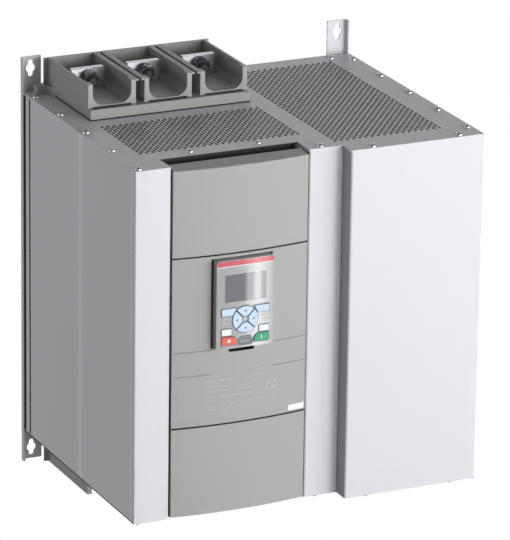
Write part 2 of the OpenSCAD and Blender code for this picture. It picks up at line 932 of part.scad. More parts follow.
// Terminal shroud on the top cover, drawn from the cover's face
module terminal_shroud() {
    rear_y = shroud_back - trough_wall;
    difference() {
        union() {
            block([shroud_x, shroud_front, 0], [shroud_x + shroud_w, shroud_back, slab_h]);
            block(
                [shroud_x - shroud_rear_over, rear_y, 0],
                [shroud_x + shroud_w + shroud_rear_over, shroud_back, trough_top]
            );
            for (i = phases) {
                x0 = phase_x(i) - trough_w / 2;
                block([x0, trough_front, 0], [x0 + trough_w, shroud_back, trough_top]);
            }
            shroud_ear();
            translate([2 * shroud_x + shroud_w, 0, 0]) mirror([1, 0, 0]) shroud_ear();
        }
        for (i = phases) {
            translate([phase_x(i), 0, 0]) {
                along_y(trough_front + lip_d, rear_y) {
                    trough_section(trough_w - 2 * trough_wall, trough_r, floor_z);
                }
                along_y(trough_front - over, trough_front + lip_d + over) {
                    trough_section(trough_w - 2 * lip_w, mouth_r, floor_z);
                }
                block(
                    [lip_w - trough_w / 2, trough_front - over, slab_h],
                    [trough_w / 2 - lip_w, trough_front + shadow_d, slab_h + shadow_h]
                );
                block(
                    [-bar_w / 2 - bar_fit, bar_y - bar_fit, -over],
                    [bar_w / 2 + bar_fit, bar_y + bar_t + bar_fit, trough_top]
                );
            }
        }
    }
}

// Fixing ear at the shroud's left side, with a fillet into the base
module shroud_ear() {
    fillet = slab_h - trough_floor;
    block([shroud_x - ear_w, shroud_back - ear_d, 0], [shroud_x + over, shroud_back, ear_h]);
    difference() {
        block(
            [shroud_x - fillet, shroud_back - ear_d - fillet, 0],
            [shroud_x + over, shroud_back - ear_d + over, ear_h]
        );
        translate([shroud_x - fillet, shroud_back - ear_d - fillet, -over]) {
            cylinder(r = fillet, h = ear_h + 2 * over, $fn = 48);
        }
    }
}

module line_terminal_shroud() {
    in_frame() color(shroud_grey) translate([0, 0, body_h]) terminal_shroud();
}

module load_terminal_shroud() {
    in_frame() color(shroud_grey) at_bottom() translate([0, 0, body_h]) terminal_shroud();
}

// Terminal bar of one phase, drawn as the line side one
module terminal_bar(i) {
    jog = body_h - jog_drop;
    x = phase_x(i);
    difference() {
        along_x(x - bar_w / 2, x + bar_w / 2) folded_section([
            [bar_cy, bar_top],
            [bar_cy, jog],
            [inner_cy, jog],
            [inner_cy, mid_z + bar_end_z]
        ], bar_t, bar_t);
        translate([x, bar_y - over, body_h + bolt_z]) rotate([-90, 0, 0]) {
            cylinder(r = bolt_r + bolt_fit, h = bar_t + 2 * over, $fn = 48);
        }
    }
}

module line_bar(i) {
    in_frame() color(tinned) terminal_bar(i);
}

module load_bar(i) {
    in_frame() color(tinned) at_bottom() terminal_bar(i);
}

// Hexagonal prism from y0 to y1 around the bolt's axis
module hexagon(y0, y1) {
    along_y(y0, y1) circle(d = bolt_flats / cos(30), $fn = 6);
}

// Terminal bolt with its flange nut at the front of the bar
module terminal_bolt() {
    back = bar_y + bar_t;
    nut_back = bar_y - nut_flange_t;
    nut_front = nut_back - nut_h;
    hexagon(back, back + bolt_head_h);
    along_y(nut_front - bolt_over, back + over) circle(bolt_r, $fn = 32);
    difference() {
        union() {
            hexagon(nut_front, nut_back);
            along_y(nut_back, bar_y) circle(nut_flange_r, $fn = 48);
        }
        along_y(nut_front - over, bar_y + over) circle(bolt_r + shaft_fit, $fn = 32);
    }
}

module terminal_bolts() {
    in_frame() color(zinc) at_both_ends() for (i = phases) {
        translate([phase_x(i), 0, body_h + bolt_z]) terminal_bolt();
    }
}

module heat_sink(i) {
    fin_step = (sink_w - fin_t) / (fin_count - 1);
    in_frame() color(aluminium) translate([phase_x(i) - sink_w / 2, sink_back, mid_z - sink_half_h]) {
        linear_extrude(2 * sink_half_h) {
            translate([0, -sink_base]) square([sink_w, sink_base]);
            for (fin = [0 : fin_count - 1]) {
                translate([fin * fin_step, -sink_d]) square([fin_t, sink_d]);
            }
        }
    }
}

module thyristor_module(i) {
    x = phase_x(i);
    in_frame() color(dark_plastic) {
        block(
            [x - thyristor_w / 2, sink_back, mid_z - thyristor_half_h],
            [x + thyristor_w / 2, thyristor_back - clamp_d, mid_z + thyristor_half_h]
        );
        for (z = [mid_z - bar_end_z - clamp_h, mid_z + bar_end_z]) {
            block(
                [x - bar_w / 2, thyristor_back - clamp_d, z],
                [x + bar_w / 2, thyristor_back, z + clamp_h]
            );
        }
    }
}

module current_transformer(i) {
    x = phase_x(i);
    z0 = body_h - link_foot_z - link_rise - link_t - ct_gap - ct_h;
    in_frame() color(dark_plastic) difference() {
        block([x - ct_w / 2, bar_cy - ct_d / 2, z0], [x + ct_w / 2, bar_cy + ct_d / 2, z0 + ct_h]);
        block(
            [x - bar_w / 2 - bar_fit, bar_y, z0 - over],
            [x + bar_w / 2 + bar_fit, bar_y + bar_t, z0 + ct_h + over]
        );
    }
}

// Insulating rail behind the heat sinks and the contactor, drawn as the upper one
module support_rail() {
    z0 = mid_z + support_z - support_h / 2;
    block([sheet, sink_back, z0], [body_w - sheet, sink_back + support_d, z0 + support_h]);
}

module upper_support_rail() {
    in_frame() color("#8d3f2c") support_rail();
}

module lower_support_rail() {
    in_frame() color("#8d3f2c") at_bottom() support_rail();
}

// Places a fan, drawn from the middle of its lower face
module fan_place(index) {
    x = fan_x0 + fan_side / 2 + index * (fan_side + 0.5);
    in_frame() translate([x, fan_y + fan_side / 2, sheet]) children();
}

module fan_frame(index) {
    fan_place(index) color(dark_plastic) {
        difference() {
            translate([-fan_side / 2, -fan_side / 2, 0]) cube([fan_side, fan_side, fan_h]);
            translate([0, 0, -over]) cylinder(r = fan_bore_r, h = fan_h + 2 * over, $fn = 96);
        }
        difference() {
            union() {
                cylinder(r = fan_hub_r, h = spider_h, $fn = 64);
                for (turn = [45, 135]) {
                    rotate(turn) translate([-fan_bore_r - over, -3, 0]) {
                        cube([2 * fan_bore_r + 2 * over, 6, spider_h]);
                    }
                }
            }
            translate([0, 0, -over]) cylinder(r = fan_shaft_r, h = spider_h + 2 * over, $fn = 32);
        }
        cylinder(r = fan_shaft_r, h = fan_h - 4, $fn = 32);
    }
}

module fan_rotor(index) {
    reach = blade_r - fan_hub_r;
    fan_place(index) color("#2a2c2e") translate([0, 0, rotor_z0]) difference() {
        union() {
            cylinder(r = fan_hub_r, h = rotor_h, $fn = 64);
            intersection() {
                cylinder(r = blade_r, h = rotor_h, $fn = 96);
                for (blade = [0 : blade_count - 1]) {
                    rotate(blade * 360 / blade_count) translate([fan_hub_r - over, 0, rotor_h / 2]) {
                        rotate([blade_pitch, 0, 0]) translate([0, -rotor_h, -blade_t / 2]) {
                            cube([reach + 2 * over, 2 * rotor_h, blade_t]);
                        }
                    }
                }
            }
        }
        translate([0, 0, -over]) {
            cylinder(r = fan_shaft_r + shaft_fit, h = rotor_h + 2 * over, $fn = 32);
        }
    }
}

module contactor_housing() {
    low = [contactor_x0, contactor_y0, mid_z - contactor_half_h];
    high = [contactor_x0 + contactor_w, sink_back, mid_z + contactor_half_h];
    wall = contactor_wall * [1, 0, 1];
    in_frame() color("#d8d4c8") difference() {
        block(low, high);
        block(low + wall - [0, over, 0], high - wall - [0, contactor_wall, 0]);
    }
}

module contactor_coil() {
    in_frame() color(copper) translate([contactor_cx, 0, mid_z]) {
        along_y(coil_front, coil_front + coil_l) circle(coil_r, $fn = 64);
    }
}

module contact_carrier() {
    margin = contactor_wall + carrier_fit;
    half_w = contactor_w / 2 - margin;
    half_h = contactor_half_h - margin;
    in_frame() color("#3a3530") translate([contactor_cx, 0, mid_z]) {
        along_y(carrier_back - carrier_d, carrier_back - link_t) {
            translate([-half_w, -half_h]) square([2 * half_w, 2 * half_h]);
        }
        along_y(carrier_back - link_t - over, carrier_back) circle(core_r, $fn = 48);
    }
}

// Flat bar from a phase's terminal bar to the contactor, drawn as a line side one
module bypass_link(i) {
    z0 = link_foot_z;
    run_z = z0 + link_rise;
    y = inner_cy + bar_t + link_w / 2 + 1 + i * link_pitch;
    turn_x = contactor_cx + (i - 1) * link_turn;
    end_y = contactor_y0 + contactor_d - 40;
    half = link_w / 2;
    translate([0, 0, run_z]) linear_extrude(link_t) folded_section([
        [phase_x(i) - half, y],
        [turn_x, y],
        [turn_x, end_y]
    ], link_w, link_w);
    block([phase_x(i) - half, y - half, z0], [phase_x(i) + half, y + half, run_z + over]);
    block(
        [turn_x - half, end_y, mid_z + contactor_half_h],
        [turn_x + half, end_y + link_t, run_z + over]
    );
}

module bypass_links() {
    in_frame() color(copper) at_both_ends() for (i = phases) {
        bypass_link(i);
    }
}

module control_board() {
    in_frame() color(board_green) block(
        [cover_x0 + board_margin, board_front, board_z],
        [cover_x1 - board_margin, board_back, board_top]
    );
}

module control_terminals() {
    x0 = cover_x0 + board_margin + 2;
    w = cover_w - 2 * board_margin - 4;
    z0 = board_top - strip_h - 4;
    way = w / strip_ways;
    in_frame() color("#5f9a6c") difference() {
        block([x0, board_front - strip_d, z0], [x0 + w, board_front, z0 + strip_h]);
        for (i = [0 : strip_ways - 1]) {
            translate([x0 + (i + 0.5) * way, board_front - strip_d - over, z0 + strip_h / 2]) {
                translate([-way / 4, 0, -strip_h / 4]) cube([way / 2, strip_d / 2 + over, strip_h / 2]);
            }
        }
    }
}

// Extrudes a drawing on the keypad's face from y0 back to y1
module on_face(y0, y1) {
    translate([keypad_cx, 0, keypad_z]) along_y(y0, y1) children();
}

// Outlines on the keypad's face, grown by g, with the keypad's lower edge at height 0
module soft_key_outline(g) {
    slope = (soft_inner_low - soft_inner_top) / (soft_z1 - soft_z0);
    shift = g * sqrt(1 + slope * slope);
    polygon([
        [-key_outer_x - g, soft_z1 + g],
        [-soft_inner_top + shift + slope * g, soft_z1 + g],
        [-soft_inner_low + shift - slope * g, soft_z0 - g],
        [-key_outer_x - g, soft_z0 - g]
    ]);
}

module arrow_outline(turn, g) {
    inset = ring_gap / 2 - g;
    translate([0, ring_z]) rotate(turn) intersection() {
        difference() {
            circle(ring_r + g, $fn = 96);
            circle(hub_r - g, $fn = 48);
        }
        translate([inset, inset]) square(ring_r + over);
    }
}

module small_key_outline(g) {
    round_rect([-key_outer_x - g, small_z0 - g], [small_key_w - key_outer_x + g, small_z1 + g], 1 + g);
}

module run_key_outline(g) {
    r = run_r + g;
    inner_x = run_key_w - key_outer_x + g;
    difference() {
        round_rect([-key_outer_x - g, run_z0 - g], [inner_x, run_z1 + g], 1 + g);
        translate([inner_x - r, run_z1 + g - r]) difference() {
            square(r + over);
            circle(r, $fn = 48);
        }
    }
}

module flap_outline(g) {
    low = [-flap_w / 2 - g, flap_z - g];
    high = [flap_w / 2 + g, flap_z + flap_h + g];
    r = flap_r + g;
    intersection() {
        round_rect(low - [0, 2 * r], high, r);
        translate(low) square(high - low);
    }
}

module window_outline(g) {
    round_rect([-window_w / 2 - g, window_z - g], [window_w / 2 + g, window_z + window_h + g], 1 + g);
}

module keypad_outline(inset) {
    edge = keypad_w / 2 - inset;
    round_rect([-edge, inset], [edge, keypad_h - inset], keypad_corner - inset / 2);
}

arrow_turns = [45, 135, 225, 315];

module keypad_face() {
    in_frame() color(face_grey) on_face(face_y, face_back) difference() {
        keypad_outline(0);
        window_outline(0);
        flap_outline(key_fit);
        for (turn = arrow_turns) {
            arrow_outline(turn, key_fit);
        }
        for (side = [0, 1]) mirror([side, 0]) {
            soft_key_outline(key_fit);
            small_key_outline(key_fit);
            run_key_outline(key_fit);
        }
    }
}

module display_window() {
    in_frame() color("#6d6f72") on_face(face_y + 0.3, face_back) window_outline(0);
}

module keypad_housing() {
    in_frame() color(dark_plastic) difference() {
        on_face(face_back, keypad_back) keypad_outline(0);
        on_face(face_back - over, keypad_back - keypad_wall) keypad_outline(keypad_wall);
    }
}

// Rectangle of the service port, moved in from its outside by inset
module port_outline(inset) {
    size = [port_w - 2 * inset, port_h - 2 * inset];
    translate([-size.x / 2, flap_pivot_z + flap_h / 2 - size.y / 2]) square(size);
}

// Circuit board with the display panel behind the window and the service port behind the flap
module keypad_board() {
    in_frame() color(board_green) {
        on_face(keypad_board_y, keypad_board_y + board_t) keypad_outline(keypad_wall);
        on_face(face_back, keypad_board_y + board_t / 2) window_outline(0.5);
        on_face(face_back + 0.5, keypad_board_y + board_t / 2) difference() {
            port_outline(0);
            port_outline(port_wall);
        }
    }
}

// Key with a cap through the face and a stem towards the board; takes the cap's outline
module keypad_key(stem) {
    on_face(face_y - key_proud, cap_back) children();
    on_face(cap_back - over, stem_back) translate(stem) circle(key_stem_r, $fn = 24);
}

soft_stem = [-(key_outer_x + soft_inner_low) / 2, (soft_z0 + soft_z1) / 2];
small_stem = [small_key_w / 2 - key_outer_x, (small_z0 + small_z1) / 2];
run_stem = [run_key_w / 2 - key_outer_x, (run_z0 + run_z1) / 2];
function mirrored(p) = [-p.x, p.y];

module left_soft_key() {
    in_frame() color(key_blue) keypad_key(soft_stem) soft_key_outline(0);
}

module right_soft_key() {
    in_frame() color(key_blue) keypad_key(mirrored(soft_stem)) mirror([1, 0]) soft_key_outline(0);
}

module arrow_key(turn) {
    r = (ring_r + hub_r) / 2;
    stem = [r * cos(turn + 45), ring_z + r * sin(turn + 45)];
    in_frame() color(key_blue) keypad_key(stem) arrow_outline(turn, 0);
}

module info_key() {
    in_frame() color(key_white) keypad_key(small_stem) small_key_outline(0);
}

module mode_key() {
    in_frame() color(key_white) keypad_key(mirrored(small_stem)) mirror([1, 0]) small_key_outline(0);
}

module stop_key() {
    in_frame() color("#f0705f") keypad_key(run_stem) run_key_outline(0);
}

module start_key() {
    in_frame() color("#57b48c") keypad_key(mirrored(run_stem)) mirror([1, 0]) run_key_outline(0);
}

// Flap over the service port, with a round lower edge on its pivot
module port_flap() {
    half_t = face_t / 2;
    in_frame() color("#a9abaa") {
        on_face(face_y, face_back) intersection() {
            flap_outline(0);
            translate([-flap_w, flap_pivot_z]) square([2 * flap_w, flap_h]);
        }
        translate([keypad_cx - flap_w / 2, face_y + half_t, keypad_z + flap_pivot_z]) {
            rotate([0, 90, 0]) cylinder(r = half_t, h = flap_w, $fn = 32);
        }
    }
}

left_side_panel();
centre_front_strip();
right_module_cover();
top_cover();
bottom_cover();
rear_panel();
left_mounting_rail();
right_mounting_rail();
left_rear_post();
right_rear_post();
cover_screws();
front_frame();
upper_front_cover();
middle_front_cover();
lower_front_cover();
line_terminal_shroud();
load_terminal_shroud();
line_bar(0);  // line_bar_1
line_bar(1);  // line_bar_2
line_bar(2);  // line_bar_3
load_bar(0);  // load_bar_1
load_bar(1);  // load_bar_2
load_bar(2);  // load_bar_3
terminal_bolts();
heat_sink(0);  // heat_sink_1
heat_sink(1);  // heat_sink_2
heat_sink(2);  // heat_sink_3
thyristor_module(0);  // thyristor_module_1
thyristor_module(1);  // thyristor_module_2
thyristor_module(2);  // thyristor_module_3
current_transformer(0);  // current_transformer_1
current_transformer(1);  // current_transformer_2
current_transformer(2);  // current_transformer_3
upper_support_rail();
lower_support_rail();
fan_frame(0);  // left_fan_frame
fan_rotor(0);  // left_fan_rotor
fan_frame(1);  // right_fan_frame
fan_rotor(1);  // right_fan_rotor
contactor_housing();
contactor_coil();
contact_carrier();
bypass_links();
control_board();
control_terminals();
keypad_housing();
keypad_face();
display_window();
keypad_board();
left_soft_key();
right_soft_key();
arrow_key(45);  // up_key
arrow_key(135);  // left_key
arrow_key(225);  // down_key
arrow_key(315);  // right_key
info_key();
mode_key();
stop_key();
start_key();
port_flap();
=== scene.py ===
"""Dressed model of a wall-mounted three-phase soft starter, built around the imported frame.

Sizes are in millimetres, measured from the front left bottom corner of the sheet metal body (X to the right,
Y to the back, Z up), and the place function turns them into the frame's metres.
"""
import json
import logging
import math
import random
from dataclasses import dataclass, field, replace
from enum import Enum
from typing import Any, Callable, Iterable, Optional, Sequence

import bmesh
import bpy
from mathutils import Matrix, Vector

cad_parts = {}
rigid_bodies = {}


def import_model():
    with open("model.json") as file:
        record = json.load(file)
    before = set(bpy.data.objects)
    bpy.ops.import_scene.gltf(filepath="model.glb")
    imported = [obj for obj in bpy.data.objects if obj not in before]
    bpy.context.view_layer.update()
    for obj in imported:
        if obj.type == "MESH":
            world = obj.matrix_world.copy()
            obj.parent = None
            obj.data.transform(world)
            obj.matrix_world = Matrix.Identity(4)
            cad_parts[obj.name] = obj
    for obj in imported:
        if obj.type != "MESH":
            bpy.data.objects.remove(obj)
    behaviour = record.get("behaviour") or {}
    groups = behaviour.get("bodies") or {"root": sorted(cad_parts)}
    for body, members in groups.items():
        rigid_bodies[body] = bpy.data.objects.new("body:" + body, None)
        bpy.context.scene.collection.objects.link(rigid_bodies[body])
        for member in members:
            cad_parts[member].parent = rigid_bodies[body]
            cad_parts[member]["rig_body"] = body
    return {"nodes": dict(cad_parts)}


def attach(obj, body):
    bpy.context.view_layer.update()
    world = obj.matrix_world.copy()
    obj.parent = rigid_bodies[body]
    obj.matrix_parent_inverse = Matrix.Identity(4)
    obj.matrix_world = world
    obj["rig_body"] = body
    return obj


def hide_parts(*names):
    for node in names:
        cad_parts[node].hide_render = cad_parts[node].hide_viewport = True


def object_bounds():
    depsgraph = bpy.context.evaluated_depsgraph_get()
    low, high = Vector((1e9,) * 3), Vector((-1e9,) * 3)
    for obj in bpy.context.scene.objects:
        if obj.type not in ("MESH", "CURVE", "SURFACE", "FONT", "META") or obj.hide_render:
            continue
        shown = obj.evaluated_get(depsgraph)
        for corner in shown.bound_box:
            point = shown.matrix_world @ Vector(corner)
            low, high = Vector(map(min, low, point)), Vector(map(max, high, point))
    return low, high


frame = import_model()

LOG = logging.getLogger("soft_starter")
CAD_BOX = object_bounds()
# Face attribute that marks the slot walls for painted shade.
SHADE_WALL_MARK = "punched_edge"

BODY_W, BODY_D, BODY_H = 433.0, 344.0, 430.0
CORNER = Vector((BODY_W / 2, BODY_D, BODY_H / 2))
MM = 0.001

# Largest angle, in degrees, between two faces of a curve: on rounded edges, folds, turned parts and slot ends.
EDGE_CURVE, FOLD_CURVE, TURNED_CURVE, SLOT_CURVE = 17.0, 20.0, 35.0, 40.0
# Least share of a face's normal along an axis for the face to count as square to it, and as looking that way.
SQUARE, FACING = 0.9, 0.5
# Number of facets on a rounded edge, and the least angle in degrees at which an edge is rounded.
EDGE_STEPS, SHARP = 2, 40.0
# Distance in metres within which points are one, and angles in degrees up to which faces merge or are flat.
TINY, MERGE_ANGLE, FLAT_ANGLE = 1e-6, 0.3, 0.05

Point2 = tuple[float, float]
Point3 = tuple[float, float, float]
Box = tuple[float, float, float, float]
Loop = list[Point2]


class Slot(Enum):
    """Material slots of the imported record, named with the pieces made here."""

    SHEET = "painted_sheet"
    ZINC = "zinc_steel"
    COVER = "cover_plastic"
    SHROUD = "shroud_plastic"
    TIN = "tinned_copper"
    BLACK = "black_plastic"
    GRAPHITE = "graphite_plastic"
    FACE = "face_plastic"
    BLUE_KEY = "blue_key"
    WHITE_KEY = "white_key"
    RED_KEY = "red_key"
    GREEN_KEY = "green_key"


class End(Enum):
    """The two ends of the body, with the sign of the outward direction."""

    TOP = 1
    BOTTOM = -1

    def z(self, height: float) -> float:
        """Height in the body of a point that lies height mm up at the top end."""
        return height if self is End.TOP else BODY_H - height


def place(x: float, y: float, z: float) -> Vector:
    """Turn a point of the body, in mm, into the frame's metres."""
    return (Vector((x, y, z)) - CORNER) * MM


def linear(hex_colour: str) -> tuple[float, float, float, float]:
    """Turn an sRGB hex colour into linear red, green, blue and alpha.

    Args:
        hex_colour: Six hex digits after a hash.

    Returns:
        The linear colour with alpha 1.
    """
    channels = [int(hex_colour[i:i + 2], 16) / 255 for i in (1, 3, 5)]
    red, green, blue = (c / 12.92 if c <= 0.04045 else ((c + 0.055) / 1.055) ** 2.4 for c in channels)
    return red, green, blue, 1.0


def add_node(tree: bpy.types.NodeTree, kind: str, inputs: Optional[dict[Any, Any]] = None,
             **settings: Any) -> bpy.types.Node:
    """Add a node with its settings, values and links.

    Args:
        tree: The tree that gets the node.
        kind: The node's type name.
        inputs: Value or output socket for each input, by the input's name or number.
        **settings: Properties to set on the node.

    Returns:
        The new node.
    """
    node = tree.nodes.new(kind)
    for name, value in settings.items():
        setattr(node, name, value)
    for key, value in (inputs or {}).items():
        socket = node.inputs[key]
        if isinstance(value, bpy.types.NodeSocket):
            tree.links.new(value, socket)
        else:
            socket.default_value = value
    return node


@dataclass(frozen=True)
class Finish:
    """A surface finish: a Principled shader with a fine relief, a slow drift of tone and, where given, painted
    highlight bands.

    Attributes:
        name: Material name, after the real material.
        colour: Base colour as sRGB hex.
        roughness: Middle roughness.
        metallic: 1 for bare metal, 0 for the rest.
        ior: Index of refraction, for what isn't metal.
        coat: Weight of a clear coat.
        drift: How far the tone drifts, as a share of the colour.
        drift_mm: Size of a patch of that drift.
        grain_mm: Size of one bump of the relief.
        grain: Strength of the relief.
        stretch: How much the relief is drawn out along X, Y and Z, as brushing or rolling does.
        wear: How much the roughness varies over the surface.
        bands: Painted highlights as soft lighter bands across the depth: middle, half width, and how much
            lighter, as a share.
    """

    name: str
    colour: str
    roughness: float
    metallic: float = 0.0
    ior: float = 1.5
    coat: float = 0.0
    drift: float = 0.03
    drift_mm: float = 60.0
    grain_mm: float = 0.8
    grain: float = 0.1
    stretch: Point3 = (1.0, 1.0, 1.0)
    wear: float = 0.05
    bands: tuple[Point3, ...] = ()

    def material(self) -> bpy.types.Material:
        """Give the finish's material, made on its first use.

        Returns:
            The material of this finish.
        """
        found = bpy.data.materials.get(self.name)
        if found:
            return found
        made = bpy.data.materials.new(self.name)
        made.use_nodes = True
        tree = made.node_tree
        tree.nodes.clear()
        shader = add_node(tree, "ShaderNodeBsdfPrincipled", {
            "Metallic": self.metallic, "Coat Weight": self.coat, "Coat Roughness": 0.02})
        if not self.metallic:
            shader.inputs["IOR"].default_value = self.ior
        add_node(tree, "ShaderNodeOutputMaterial", {"Surface": shader.outputs[0]})
        where = add_node(tree, "ShaderNodeTexCoord").outputs["Object"]
        patches = add_node(tree, "ShaderNodeTexNoise", {
            "Vector": where, "Scale": 1 / (self.drift_mm * MM), "Detail": 3.0})
        tone = linear(self.colour)
        shades = [tuple(c * (1 + sign * self.drift) for c in tone[:3]) + (1.0,) for sign in (-1, 1)]
        mixed = add_node(tree, "ShaderNodeMix", {0: patches.outputs[0], 6: shades[0], 7: shades[1]},
                         data_type="RGBA")
        colour = mixed.outputs[2]
        # Painted highlight: each band makes the base colour lighter towards its middle.
        for middle, half, gain in self.bands:
            depth = add_node(tree, "ShaderNodeSeparateXYZ", {0: where}).outputs[1]
            off = add_node(tree, "ShaderNodeMath", {0: depth, 1: place(0, middle, 0).y}, operation="SUBTRACT")
            away = add_node(tree, "ShaderNodeMath", {0: off.outputs[0]}, operation="ABSOLUTE")
            lighter = add_node(tree, "ShaderNodeMapRange", {
                "Value": away.outputs[0], 1: 0.0, 2: half * MM, 3: 1 + gain, 4: 1.0},
                interpolation_type="SMOOTHSTEP")
            colour = add_node(tree, "ShaderNodeVectorMath", {0: colour, "Scale": lighter.outputs[0]},
                              operation="SCALE").outputs[0]
        tree.links.new(colour, shader.inputs["Base Color"])
        drawn = add_node(tree, "ShaderNodeMapping", {"Vector": where, "Scale": self.stretch})
        relief = add_node(tree, "ShaderNodeTexNoise", {
            "Vector": drawn.outputs[0], "Scale": 1 / (self.grain_mm * MM), "Detail": 2.0})
        rough = add_node(tree, "ShaderNodeMapRange", {
            "Value": relief.outputs[0], 3: self.roughness - self.wear, 4: self.roughness + self.wear})
        tree.links.new(rough.outputs[0], shader.inputs["Roughness"])
        if self.grain:
            bump = add_node(tree, "ShaderNodeBump", {
                "Height": relief.outputs[0], "Strength": self.grain, "Distance": self.grain_mm * MM})
            tree.links.new(bump.outputs[0], shader.inputs["Normal"])
        return made


# Polyester powder coat on steel: satin, light grey with a trace of blue, and a soft orange peel.
POWDER_COAT = Finish("powder_coat_light_grey", "#dfdee4", 0.42, drift=0.012, drift_mm=120, grain_mm=1.6,
                     grain=0.05, wear=0.04)
# The same coat with painted highlights: soft lighter bands over the pressed beads.
BEAD_HIGHLIGHT_COAT = replace(POWDER_COAT, name="powder_coat_on_beads", bands=((160.5, 12.0, 0.17), (11.0, 7.0, 0.1)))
# The same coat painted darker as shade, on the module's recessed return where shade falls.
STEP_SHADE_COAT = replace(POWDER_COAT, name="powder_coat_thin_grey", colour="#a3a2a8")
# Painted highlight: a white satin strip that stands for the bright line in the corner beside the module.
HIGHLIGHT_LINE_WHITE = Finish("extruded_pvc_white", "#fbfbfc", 0.35, ior=1.53, drift=0.01, drift_mm=20, grain=0.03)
# Spark-eroded PC/ABS moulding: dull greenish grey whose fine grain breaks up every reflection.
COVER_PLASTIC = Finish("moulded_abs_stone_grey", "#aaaaa8", 0.55, ior=1.53, drift=0.015, drift_mm=90,
                       grain_mm=0.7, grain=0.12, wear=0.05)
# Glass-filled polyamide: darker greenish grey, a little glossier, with a flow-marked skin.
SHROUD_PLASTIC = Finish("moulded_polyamide_grey", "#a4a4a1", 0.45, ior=1.53, drift=0.04, drift_mm=35,
                        grain_mm=0.9, grain=0.12, wear=0.06)
# Dark steel as painted shade: dull and dark on the walls of the punched slots, in the covers' notch, at the
# bottom cover's left edge and on the frame behind the covers.
SHADE_STEEL = Finish("dark_passivated_steel", "#26272a", 0.6, drift=0.08, drift_mm=12)
# Bright zinc plating: near-white, shiny metal with soft streaks from the bath.
ZINC_PLATE = Finish("bright_zinc_plate", "#f2f3f6", 0.2, metallic=1.0, drift=0.05, drift_mm=9,
                    grain_mm=0.9, grain=0.04, wear=0.05)
# Tin plating on rolled copper bar: grey metal, dull, drawn along the bar.
TIN_PLATE = Finish("tin_plated_copper", "#cfd0d3", 0.34, metallic=1.0, drift=0.08, drift_mm=14,
                   grain_mm=0.8, grain=0.12, stretch=(1.0, 1.0, 0.06), wear=0.09)
# Bare rolled copper: warm metal with a thin brown tarnish in patches.
BARE_COPPER = Finish("rolled_copper", "#b9744e", 0.36, metallic=1.0, drift=0.15, drift_mm=20,
                     grain_mm=0.8, grain=0.1, stretch=(0.08, 1.0, 1.0), wear=0.1)
# Extruded aluminium: pale metal with die lines along the fins.
EXTRUSION = Finish("extruded_aluminium", "#c3c6ca", 0.38, metallic=1.0, drift=0.05, drift_mm=30,
                   grain_mm=0.7, grain=0.12, stretch=(1.0, 1.0, 0.04), wear=0.08)
# Black polyamide: dark moulding with a faint sheen.
BLACK_PLASTIC = Finish("moulded_polyamide_black", "#242527", 0.48, ior=1.53, drift=0.05, drift_mm=25,
                       grain_mm=0.8, grain=0.12)
# Moulded polyester insulator: warm off-white with visible glass fibre mottle.
INSULATOR = Finish("glass_polyester_insulator", "#cfc8b6", 0.55, ior=1.55, drift=0.06, drift_mm=6,
                   grain_mm=1.0, grain=0.2)
# Solder resist on laminate: deep green, glossy, with the weave just showing through.
SOLDER_RESIST = Finish("solder_resist_green", "#2a6440", 0.28, ior=1.55, drift=0.1, drift_mm=4,
                       grain_mm=0.6, grain=0.12)
# Green polyamide of plug-in terminals.
TERMINAL_PLASTIC = Finish("moulded_polyamide_green", "#5f9a6c", 0.45, ior=1.53, drift=0.04, drift_mm=12)
# Graphite ABS of the keypad's case: grey-green with a fine grain.
GRAPHITE = Finish("moulded_abs_graphite", "#a4a8a4", 0.45, ior=1.53, drift=0.03, drift_mm=20,
                  grain_mm=0.5, grain=0.1)
# Polyester overlay film on the keypad: silver grey and glossy.
FACE_FILM = Finish("polyester_film_silver", "#acaead", 0.06, ior=1.6, coat=0.5, drift=0.015, drift_mm=18,
                   grain_mm=0.6, grain=0.0, wear=0.01)
# Silver-grey ABS of the port flap: matt beside the glossy film.
FLAP_PLASTIC = Finish("moulded_abs_silver_grey", "#939594", 0.45, ior=1.53, drift=0.015, drift_mm=12,
                      grain_mm=0.5, grain=0.08)
# Back-printed acrylic window: neutral dark grey under a clear gloss.
WINDOW = Finish("acrylic_display_window", "#7a7b80", 0.02, ior=1.49, coat=0.6, drift=0.01, drift_mm=15,
                grain_mm=0.8, grain=0.0, wear=0.004)
# Silicone rubber keys with a polyurethane coat: smooth, satin.
BLUE_RUBBER = Finish("coated_silicone_pale_blue", "#cfe1fb", 0.34, ior=1.41, drift=0.015, drift_mm=8,
                     grain_mm=0.5, grain=0.05)
WHITE_RUBBER = replace(BLUE_RUBBER, name="coated_silicone_white", colour="#f3f3f5", drift=0.01)
RED_RUBBER = replace(BLUE_RUBBER, name="coated_silicone_red", colour="#ef6e5c", drift=0.02)
GREEN_RUBBER = replace(RED_RUBBER, name="coated_silicone_green", colour="#4fae86")
# Screen-printed inks: thin, even and slightly glossy.
RED_INK = Finish("screen_ink_red", "#d45a66", 0.1, coat=0.4, drift=0.01, grain=0.0, wear=0.01)
PALE_INK = Finish("screen_ink_pale_grey", "#b9b9b6", 0.5, drift=0.02, drift_mm=6, grain=0.02)
WHITE_INK = Finish("screen_ink_white", "#f4f4f2", 0.4, drift=0.01, grain=0.02)
SLATE_INK = Finish("screen_ink_dark_slate", "#5c6577", 0.3, drift=0.01, grain=0.0)
BLUE_INK = replace(WHITE_INK, name="screen_ink_slate_blue", colour="#7f93b5", roughness=0.35)
# Painted shade along the narrow grooves: matt grey, darker than the cover.
SHADE_INK = replace(PALE_INK, name="moulded_abs_groove_grey", colour="#858583", roughness=0.6)
# Painted shade: matt black strips laid in the gaps between panels, covers and shrouds, where shade falls.
SHADE_BLACK = Finish("epdm_seal_black", "#141415", 0.8, drift=0.08, drift_mm=8)
# Zinc-nickel plating of the terminal bolts: darker grey metal than bright zinc.
BOLT_PLATE = Finish("zinc_nickel_plate", "#5e6065", 0.24, metallic=1.0, drift=0.08, drift_mm=7, grain_mm=0.9,
                    grain=0.06, wear=0.08)
